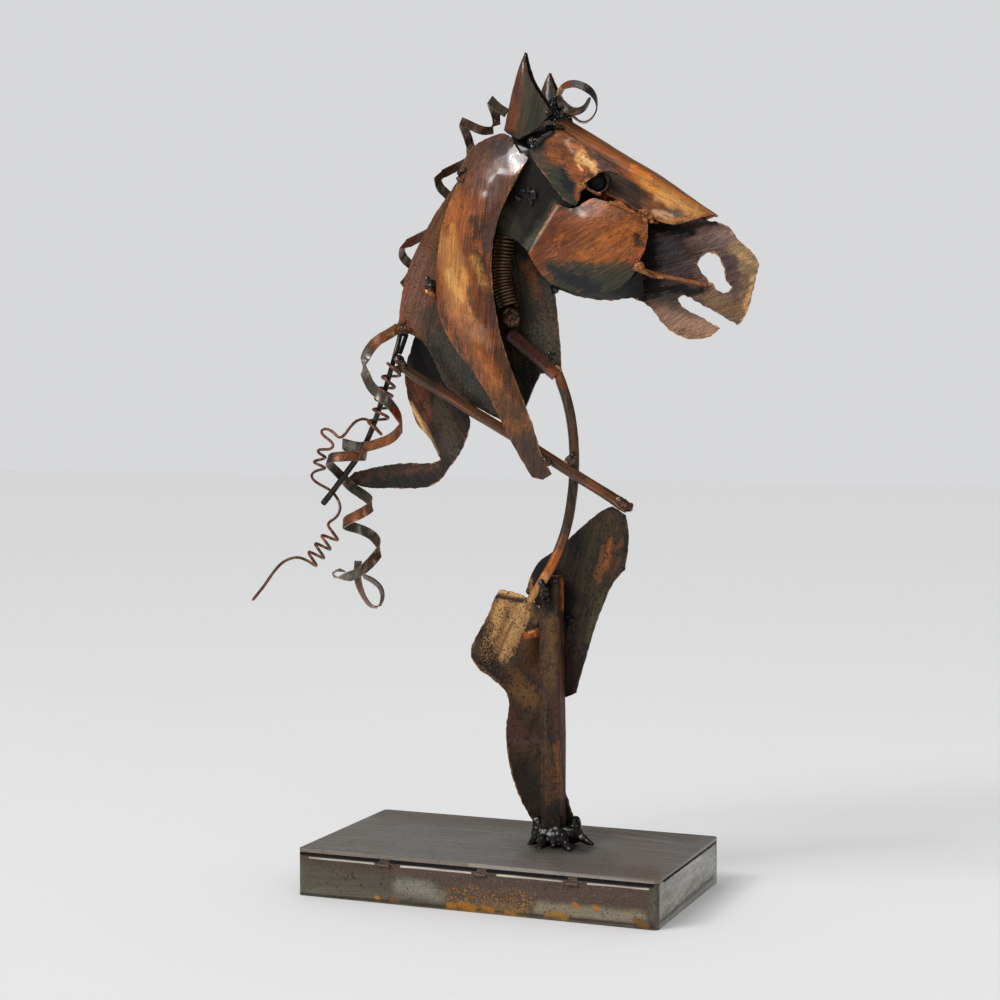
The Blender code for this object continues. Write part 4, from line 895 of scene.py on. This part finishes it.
def box_top():
    f = box_finish("box_top_steel", 30, (1, 0.06, 0),
                   ((106, 100, 92), (116, 111, 105), (122, 118, 113), (130, 127, 123)))
    f.marked("plinth_top", (
        (405, 840, 480, 856, 24, (122, 121, 119), 0.5), (380, 815, 520, 822, 9, (112, 100, 90), 0.6),
        (500, 822, 690, 838, 7, (108, 98, 88), 0.5), (620, 850, 690, 862, 20, (118, 105, 95), 0.75),
        (560, 866, 650, 874, 10, (102, 90, 80), 0.65), (536, 852, 600, 858, 15, (96, 90, 84), 0.6),
        (540, 846, 584, 847, 8, (62, 57, 52), 0.85), (586, 840, 612, 845, 8, (120, 117, 112), 0.5),
        (302, 851, 480, 866, 1.6, (124, 106, 92), 0.7), (470, 865, 652, 885, 2, (156, 148, 136), 0.7)))
    for scratch in ((592, 826, 668, 838), (580, 832, 640, 839), (612, 834, 676, 843)):
        start, end = on("plinth_top", *scratch[:2])[0], on("plinth_top", *scratch[2:])[0]
        f.over(f.times(f.near(start, end, 0.0004, 0.6, 0.8), 0.4), (160, 154, 146))
    f.mottled((92, 80, 70), 200, 0.1, 0.4)
    return f.streaked(0.93, 1.07).specked((48, 38, 30), 0.0016, 0.3, 0.5).grained(0.9, 1.1).done()


def box_front():
    f = box_finish("box_front_steel", 31, (1, 0, 0.04),
                   ((74, 70, 57), (90, 85, 71), (104, 99, 86), (120, 115, 101)))
    brown = (82, 67, 57)
    for start, end, deep, colour in ((296, 440, 0.013, (78, 66, 54)), (440, 656, 0.019, brown)):
        left, right = (on("plinth_front", u, 864 + (u - 300) * 0.09)[0] for u in (start, end))
        f.over(f.times(f.near(left, right, deep, 0.5, 0.12), 0.92), colour)
    f.marked("plinth_front", (
        (308, 863, 440, 876, 8, (76, 64, 52), 0.95), (395, 868, 440, 874, 7, brown, 0.9),
        (402, 884, 438, 892, 9, (128, 125, 116), 0.9), (446, 882, 650, 898, 12, brown, 0.97),
        (392, 868, 650, 890, 10, brown, 0.95), (300, 872, 380, 884, 9, (84, 80, 66), 0.7),
        (448, 907, 525, 913, 4, (124, 100, 50), 0.7), (540, 908, 640, 918, 6, (140, 130, 108), 0.8),
        # The dark line from (300, 893) to (640, 925) along the bottom edge is a painted contact shadow.
        (300, 866, 303, 890, 3, (84, 86, 74), 0.8), (300, 893, 640, 925, 1.3, (40, 36, 32), 0.7),
        (655, 890, 652, 925, 3, (84, 84, 76), 0.8), (638, 924, 652, 926, 4, (50, 42, 34), 0.8)))
    band = f.region("plinth_front", (446, 884, 650, 898, 18))
    f.mottled((112, 96, 84), 620, 0.15, 0.6, band).mottled((52, 42, 36), 800, 0.1, 0.6, band)
    rust = (166, 106, 32)
    cluster = f.region("plinth_front", (452, 896, 524, 902, 10))
    f.mottled(rust, 720, 0.25, 0.75, cluster).specked((196, 136, 40), 0.0009, 1.2, 0.7, cluster)
    f.marked("plinth_front", (
        (449, 905, 454, 906, 2.4, rust, 0.95), (461, 905, 472, 908, 3.2, rust, 0.95),
        (484, 908, 492, 910, 2.2, rust, 0.9), (506, 912, 514, 914, 1.6, rust, 0.8),
        (376, 897, 378, 898, 1.6, (186, 116, 34), 0.85), (390, 898, 397, 900, 2.6, (104, 80, 48), 0.9),
        (548, 914, 566, 917, 3, (150, 108, 44), 0.85), (574, 904, 577, 907, 2.2, rust, 0.9),
        (594, 907, 598, 909, 2.2, rust, 0.9), (636, 921, 646, 925, 3, (120, 88, 44), 0.85)))
    spots = f.region("plinth_front", (312, 878, 400, 892, 10))
    f.specked((48, 41, 32), 0.0022, 1.0, 0.8, spots).specked((44, 34, 28), 0.0011, 0.6, 0.8)
    f.streaked(0.9, 1.1)
    # Along the seam under the top: a black line of painted shade in the gap, and under it a pale line of
    # ground steel with a painted highlight.
    for start, end in ((300, 378), (391, 475), (488, 566), (579, 652)):
        left, right = (on("plinth_front", u, 862 + (u - 300) * 0.1)[0] for u in (start, end))
        left.z = right.z = PLINTH_HEIGHT - PLINTH_PLATE - 0.0010
        f.over(f.near(left, right, 0.0012, 0.3, 0.0), BLACK)
        left.x += 0.12 * (right.x - left.x)
        right.x -= 0.06 * (right.x - left.x)
        left.z = right.z = PLINTH_HEIGHT - PLINTH_PLATE - 0.0034
        f.over(f.times(f.near(left, right, 0.0005, 0.8, 1.8), 0.8), (216, 208, 196))
    return f.grained(0.82, 1.18).done()


def box_end():
    f = box_finish("box_end_steel", 32, (0.1, 1, 0.1),
                   ((128, 124, 114), (144, 140, 130), (158, 154, 145), (172, 168, 160)))
    f.marked("plinth_right", (
        (672, 880, 704, 856, 9, (170, 168, 163), 0.7), (676, 872, 700, 858, 3, (206, 204, 198), 0.6),
        # The dark line from (660, 922) to (712, 878) along the bottom edge is a painted contact shadow.
        (660, 922, 712, 878, 1.6, (72, 64, 54), 0.7), (655, 892, 654, 924, 3, (96, 92, 84), 0.8)))
    # The black line along the top edge is painted shade in the seam under the top.
    left, right = on("plinth_right", 664, 892)[0], on("plinth_right", 716, 848)[0]
    left.z = right.z = PLINTH_HEIGHT - PLINTH_PLATE - 0.0006
    f.over(f.near(left, right, 0.0008, 0.3, 0.3), BLACK)
    f.mottled((92, 84, 74), 420, 0.0, 0.6)
    return f.streaked(0.88, 1.12).specked((48, 38, 30), 0.0016, 0.5, 0.6).grained(0.85, 1.15).done()



# The pieces


def build_plates(finishes):
    """The bent plates: subdivided, hammered and frayed copies of the solids."""
    # Node, levels of subdivision and finish
    rows = (("neck_plate", 3, "throat"), ("mane_front", 4, "mane"), ("mane_back", 3, "mane_brown"),
            ("mane_lock", 3, "lock"), ("mane_far", 2, "mane_brown"), ("skull_near", 3, "skull"),
            ("cheek_near", 3, "cheek"), ("jaw_near", 3, "jaw"), ("brow_near", 3, "brow"),
            ("skull_far", 2, "skull"), ("cheek_far", 2, "cheek"), ("jaw_far", 2, "jaw"),
            ("brow_far", 2, "brow"), ("nose_plate", 4, "nose"), ("head_core", 4, "muzzle"),
            ("poll_plate", 3, "poll"), ("ear_near", 3, "ear"), ("ear_far", 3, "ear"),
            ("leg_plate", 4, "leg"), ("chest_plate", 4, "chest"), ("eye_near", 2, "skull"),
            ("eye_far", 2, "skull"))
    ragged = {"head_core": 0.0009, "leg_plate": 0.0006, "mane_lock": 0.0006, "brow_near": 0.0006,
              "poll_plate": 0.0006}
    for node, level, finish in rows:
        piece = refined(copied(node + "_sheet", node), level)
        worn(piece, rag=ragged.get(node, RAG))
        wear(shaded(piece), finishes[finish])
        settle(piece, node)


def build_strips(finishes):
    """The curled strips: subdivided as quads, so that they wind evenly."""
    for node in ("forelock", "mane_curl", "hanging_curl", "curl_loop"):
        piece = refined(copied(node + "_strip", node), 2, quads=True)
        worn(piece, rag=STRIP_RAG)
        wear(shaded(piece), finishes["strip"])
        settle(piece, node)


def build_rods(finishes):
    """The round stock: subdivided, then swelled back to its size."""
    # Node, levels of subdivision, the turn past which an edge stays sharp, swelling and finish
    rows = (("cross_rod", 3, 75, 0.00022, "rod_copper"), ("curved_rod", 3, 75, 0.0004, "rod_brown"),
            ("bit_rod", 2, 75, 0.00025, "rod_copper"), ("thin_rod", 3, 75, 0.0003, "rod_dark"),
            ("rod_spur", 2, 80, 0.00033, "rod_dark"), ("coil_wire", 2, 180, 0.0005, "wire"))
    for node, level, sharp, swell, finish in rows:
        piece = refined(copied(node + "_round", node), level, sharp, quads=True)
        edited(piece, lambda: bpy.ops.transform.shrink_fatten(value=swell))
        worn(piece, lump=ROD_LUMP)
        wear(shaded(piece), finishes[finish])
        settle(piece, node)


def build_square(name, node, corner, cuts, lump, finish):
    """Square stock: its corners rounded, its faces cut up and worn."""
    piece = rounded(copied(name, node), corner, segments=3)
    edited(piece, lambda: bpy.ops.mesh.subdivide(number_cuts=cuts))
    worn(piece, lump=lump)
    wear(shaded(piece, 50), finish)
    settle(piece, node)


def build_spring(finishes):
    """Wind the coil straight with a screw, then lay it along its bent middle line."""
    radius = (SPRING_WIDTH - SPRING_WIRE) / 2
    stops = [seen(506.5, 236.5, 4), seen(502, 262, 3.8), seen(502.5, 285, 3.8), seen(508, 308, 4)]
    length = sum((b - a).length for a, b in zip(stops, stops[1:]))
    bpy.ops.object.select_all(action="DESELECT")
    bpy.ops.mesh.primitive_circle_add(vertices=8, radius=SPRING_WIRE * 0.56, fill_type="NOTHING",
                                      location=(radius, 0, 0), rotation=(math.pi / 2, 0, 0))
    coil = bpy.context.object
    bpy.ops.object.transform_apply()
    modified(coil, "SCREW", angle=math.tau, iterations=SPRING_TURNS, screw_offset=length / SPRING_TURNS,
             steps=24, render_steps=24)

    def closed():
        bpy.ops.mesh.select_all(action="DESELECT")
        bpy.ops.mesh.select_non_manifold()
        bpy.ops.mesh.fill_holes(sides=0)
        bpy.ops.mesh.select_all(action="SELECT")
        bpy.ops.mesh.normals_make_consistent(inside=False)

    edited(coil, closed)
    for vert in coil.data.vertices:
        at = min(0.9999, max(0, vert.co.z / length)) * 3
        low = int(at)
        place, ahead = bend(stops, low, at - low)
        over = vert.co.z - min(length, max(0, vert.co.z))
        side = ahead.cross(Vector((0, 1, 0))).normalized()
        vert.co = place + side * vert.co.x + ahead.cross(side) * vert.co.y + ahead * over
        vert.co += dent(vert.co)
    coil.name = "neck_spring_coil"
    wear(shaded(coil, 60), finishes["spring"])
    settle(coil, "neck_spring")


def bend(stops, low, t):
    """Place and heading on a smooth line through the stops, at a share t past the stop low."""
    b, c = stops[low], stops[low + 1]
    a = stops[low - 1] if low else b * 2 - c
    d = stops[low + 2] if low + 2 < len(stops) else c * 2 - b
    place = 0.5 * (2 * b + (c - a) * t + (2 * a - 5 * b + 4 * c - d) * t * t
                   + (3 * b - a - 3 * c + d) * t * t * t)
    ahead = 0.5 * ((c - a) + (2 * a - 5 * b + 4 * c - d) * 2 * t + (3 * b - a - 3 * c + d) * 3 * t * t)
    return place, ahead.normalized()


def build_welds(finishes):
    """The part's drops of weld, made lumpy."""
    coats = {"nose_weld": "weld_copper", "bit_weld": "weld_copper", "leg_weld": "weld_copper",
             "mane_weld": "weld_brown", "spring_end": "weld_brown", "low_mane_weld": "weld_brown",
             "mane_tip_weld": "weld_brown", "cross_weld": "weld_brown"}
    for node in slots:
        if not node.endswith("weld") and node != "spring_end":
            continue
        piece = refined(copied(node + "_bead", node), 2, sharp=180)
        if node == "foot_weld":
            melted(piece, 0.0006, 14)
        worn(piece, lump=WELD_LUMP, lump_size=0.006 if node == "foot_weld" else 0.0022)
        wear(shaded(piece, 70), finishes[coats.get(node, "weld")])
        settle(piece, node)


def build_beads(finishes):
    """The smaller beads, drips and spatter that the welding left."""
    # Name, finish and lines of beads, and then grain, step and passes where they aren't the usual ones
    rows = (
        ("skull_spatter", "weld", ((517, 197, 520, 199, 3, 2.6), (522, 190, 524, 191, 2.2, 2),
                                   (529, 190, 530, 191, 3, 2.6), (534, 193, 535, 197, 3.4, 3),
                                   (530, 198, 532, 204, 2.8, 2))),
        ("brow_top_beads", "weld", ((533, 147, 541, 140, 2.6, 2.2), (544, 137, 552, 133, 2.4, 2.2),
                                    (548, 128, 562, 128, 3, 2.6), (556, 121, 566, 118, 2.6, 2))),
        ("ear_speckle", "weld", ((548, 113, 556, 98, 2.6, 2.4), (552, 118, 562, 108, 2.8, 2.2))),
        ("eye_drips", "weld_copper", ((600, 193.5, 604, 198, 1.7, 2.2), (605, 196, 611, 203, 2.6, 1.8),
                                      (612, 203, 634, 212.5, 1.3, 1.1), (586, 188, 598, 194, 1.2, 1.6))),
        ("nose_beads", "weld_copper", ((638, 212, 645, 213, 2.6, 3.6), (645, 219, 647, 222, 3, 2),
                                       (651, 220, 657, 222, 2.6, 2.2))),
        ("bit_beads", "weld_copper", ((638, 262, 641, 268, 2, 2.6), (640, 269, 652, 275, 2.6, 2.4),
                                      (652, 275, 662, 277, 2.2, 1.8))),
        ("crest_beads", "weld_brown", ((458, 175, 465, 170, 3, 2.8), (459, 179, 463, 181, 2.6, 2))),
        ("mane_beads", "weld", ((428, 279, 430, 282, 2.8, 3), (427, 287, 433, 285, 2.4, 2.8))),
        ("mane_edge_beads", "weld_copper", ((428, 292, 434, 294, 2.6, 3.2),)),
        ("low_mane_beads", "weld_rust", ((399, 325, 405, 322, 2, 2.4), (400, 329, 411, 330, 3, 2.4))),
        ("rod_left_beads", "weld_brown", ((398, 360, 404, 366, 3.6, 3.4), (397, 368, 400, 371, 2.8, 2.4))),
        ("rod_collar_beads", "weld_brown", ((620, 501, 628, 507, 4.6, 5),)),
        ("cross_beads", "weld_brown", ((567, 464, 573, 456, 3.6, 3.2), (543, 458, 548, 463, 3.2, 2.8))),
        ("leg_beads", "weld_copper", ((530, 633, 537, 631, 2, 2.6),)),
        ("post_burns", "weld", ((542, 583, 545, 592, 4, 5), (545, 594, 549, 600, 4.4, 3),
                                (551, 582, 557, 580, 2.6, 2.4))),
        ("chest_beads", "weld", ((568, 618, 571, 620, 2.6, 2.8), (567, 625, 569, 626, 2, 2))),
        ("bar_beads", "weld", ((550, 354, 553, 356, 2.2, 2.6),)),
        ("spring_beads", "weld_brown", ((505, 312, 509, 309, 2.2, 2), (506, 320, 508, 323, 2.4, 2.2),
                                        (512, 311, 517, 314, 2.4, 2))),
        ("bar_end_beads", "weld_copper", ((557, 367, 561, 370, 1.6, 1.8),)),
        ("foot_claws", "weld", ((539, 822, 538, 836, 6.4, 7, 8, 8), (538, 836, 530, 845, 6, 3, 7, -3),
                                (545, 834, 540, 849, 6.6, 3.4, 3, -11),
                                (553, 836, 554, 846, 6.4, 4, 1, -6),
                                (561, 834, 569, 850, 7, 3.6, 3, -11),
                                (575, 822, 576, 836, 6.4, 7, 8, 8),
                                (577, 835, 592, 844, 6.6, 2.4, 8, -1),
                                (542, 833, 573, 833, 7.6, 7.6, 3, 5)), 0.0005, 0.4, 16))
    for name, finish, lines, *run in rows:
        piece = beads(name, lines, *run)
        wear(shaded(piece, 70), finishes[finish])
        settle(piece, slot="copper_patina" if finish == "weld_copper" else "weld")


def build_eye_shade_plugs(finishes):
    """Painted shade inside the eye pipes: flat black lumps where their insides fall dark."""
    for name, mirrored in (("eye_shade_plug_near", False), ("eye_shade_plug_far", True)):
        place = seen(597, 181.5, -15.5)
        if mirrored:
            place.y = 2 * HEAD_MIDDLE - place.y
        hollow = bead(place, 0.0064, 3)
        hollow.name = name
        for vert in hollow.data.vertices:
            vert.co.y = place.y + (vert.co.y - place.y) * 0.2
        wear(shaded(hollow, 70), finishes["hollow"])
        # This black lump is painted shade inside the eye pipe.
        settle(hollow, slot="dark_patina")


def build_ring(finishes):
    """The small ring on the lump under the spring."""
    place = on("spring_end", 514, 319)[0]
    bpy.ops.object.select_all(action="DESELECT")
    bpy.ops.mesh.primitive_torus_add(major_radius=0.0017, minor_radius=0.00055, major_segments=24,
                                     minor_segments=10)
    ring = bpy.context.object
    ring.name = "spring_ring"
    turn = (EYE - place).to_track_quat("Z", "Y").to_matrix().to_4x4()
    ring.data.transform(Matrix.Translation(place - ray(514, 319) * 0.0003) @ turn)
    wear(shaded(ring, 70), finishes["weld_brown"])
    settle(ring, slot="weld")


def build_box(finishes):
    """The plates of the box, and three tacks along the seam under its top."""
    coats = {"plinth_front": "box_front", "plinth_left": "box_end", "plinth_right": "box_end"}
    for node in ("plinth_top", "plinth_bottom", "plinth_front", "plinth_back", "plinth_left",
                 "plinth_right"):
        piece = rounded(copied(node + "_steel", node), 0.0006)
        wear(shaded(piece, 40), finishes[coats.get(node, "box_top")])
        settle(piece, node)
    rows = []
    for u in (379, 475, 567):
        fall = (u - 300) * SEAM_SLOPE
        rows.append((u, 857.5 + fall, u + 10, 858.5 + fall, 1.9, 1.9))
    tacks = beads("seam_tacks", rows, passes=0)
    wear(shaded(tacks, 70), finishes["box_front"])
    settle(tacks, slot="box_steel")


# How bright the room is, and how much of that shows in reflections
ROOM = 0.715
ROOM_MIRRORED = 0.2

# The picture: its lens and sensor in millimetres, and what the lights point at
LENS = 74.2
SENSOR = 36
LIT = Vector((0, 0, 0.28))


def build_stage():
    """Pale floor, soft light and the camera of the view sheet."""
    bpy.ops.object.select_all(action="DESELECT")
    bpy.ops.mesh.primitive_plane_add(size=12)
    floor = bpy.context.object
    floor.name = "floor"
    paint = bpy.data.materials.new("pale_floor")
    paint.use_nodes = True
    shader = paint.node_tree.nodes["Principled BSDF"]
    shader.inputs["Base Color"].default_value = (0.70, 0.70, 0.70, 1)
    shader.inputs["Roughness"].default_value = 0.8
    floor.data.materials.append(paint)
    world = bpy.data.worlds.new("pale_room")
    world.use_nodes = True
    tree = world.node_tree
    background = tree.nodes["Background"]
    background.inputs["Color"].default_value = (0.955, 0.96, 0.97, 1)
    kind = tree.nodes.new("ShaderNodeLightPath")
    level = tree.nodes.new("ShaderNodeMapRange")
    tree.links.new(kind.outputs["Is Glossy Ray"], level.inputs["Value"])
    level.inputs["To Min"].default_value = ROOM
    level.inputs["To Max"].default_value = ROOM * ROOM_MIRRORED
    tree.links.new(level.outputs["Result"], background.inputs["Strength"])
    bpy.context.scene.world = world
    bpy.context.scene.view_settings.view_transform = "Standard"
    # Name, kind, place, angle of the sun or width of the lamp, and power
    for name, kind, place, size, power in (
            ("sun", "SUN", (-1.2, -1.6, 2.4), math.radians(35), 1.5),
            ("key", "AREA", (-1.1, -1.5, 1.7), 0.32, 8),
            ("side", "AREA", (1.3, -1.2, 1.2), 0.45, 2.6),
            ("top", "AREA", (0.3, 0.2, 1.9), 0.4, 1.1)):
        light = bpy.data.lights.new(name, kind)
        light.energy = power
        if kind == "SUN":
            light.angle = size
        else:
            light.size = size
        lamp = bpy.data.objects.new(name, light)
        bpy.context.collection.objects.link(lamp)
        aim = LIT - Vector(place)
        lamp.matrix_world = Matrix.Translation(place) @ aim.to_track_quat("-Z", "Y").to_matrix().to_4x4()
    camera = bpy.data.cameras.new("camera")
    camera.sensor_width = SENSOR
    camera.lens = LENS
    camera.clip_start = 0.01
    holder = bpy.data.objects.new("camera", camera)
    bpy.context.collection.objects.link(holder)
    holder.matrix_world = Matrix.Translation(EYE) @ Matrix((SIDE, UPWARD, -FORWARD)).transposed().to_4x4()
    bpy.context.scene.camera = holder


def build():
    """Dress all the pieces, then set the stage."""
    finishes = {
        "mane": mane_copper(), "mane_brown": mane_brown(), "lock": lock_dark(), "throat": throat_dark(),
        "skull": skull_black(), "cheek": cheek_copper(), "jaw": jaw_black(), "brow": brow_copper(),
        "nose": nose_copper(), "muzzle": muzzle_purple(), "ear": ear_brown(), "poll": poll_dark(),
        "strip": strip_wear_and_highlights(), "wire": wire_rust(), "rod_dark": rod_dark(), "rod_brown": rod_brown(),
        "rod_copper": rod_copper(), "spring": spring_black(), "post": post_brown(), "leg": leg_rust_and_edge_light(),
        "chest": chest_dark(), "weld": weld_dark(),
        "weld_copper": weld_worn("weld_copper", (DARK_BROWN, (120, 68, 36), (176, 108, 56), TAN), 23,
                                 rough=0.36),
        "weld_brown": weld_worn("weld_brown", (SOOT, DARK_BROWN, BROWN, (130, 84, 56)), 24, rough=0.3,
                                coat=0.4),
        "weld_rust": weld_worn("weld_rust", (DARK_BROWN, BROWN, (128, 66, 38), (150, 84, 50)), 25),
        "box_top": box_top(), "box_front": box_front(), "box_end": box_end(),
        # The black of the eye pipes' insides is painted shade.
        "hollow": Finish("eye_painted_shade", (BLACK, BLACK, BLACK), (1, 0, 0), seed=33, rough=0.7, metallic=0,
                         coat=0).done()}
    build_plates(finishes)
    build_strips(finishes)
    build_rods(finishes)
    build_square("neck_bar_square", "neck_bar", 0.0009, 3, 0.0002, finishes["rod_brown"])
    build_spring(finishes)
    build_welds(finishes)
    build_beads(finishes)
    build_eye_shade_plugs(finishes)
    build_ring(finishes)
    build_square("post_tube", "post", 0.0007, 4, 0.0, finishes["post"])
    build_box(finishes)
    build_stage()


build()
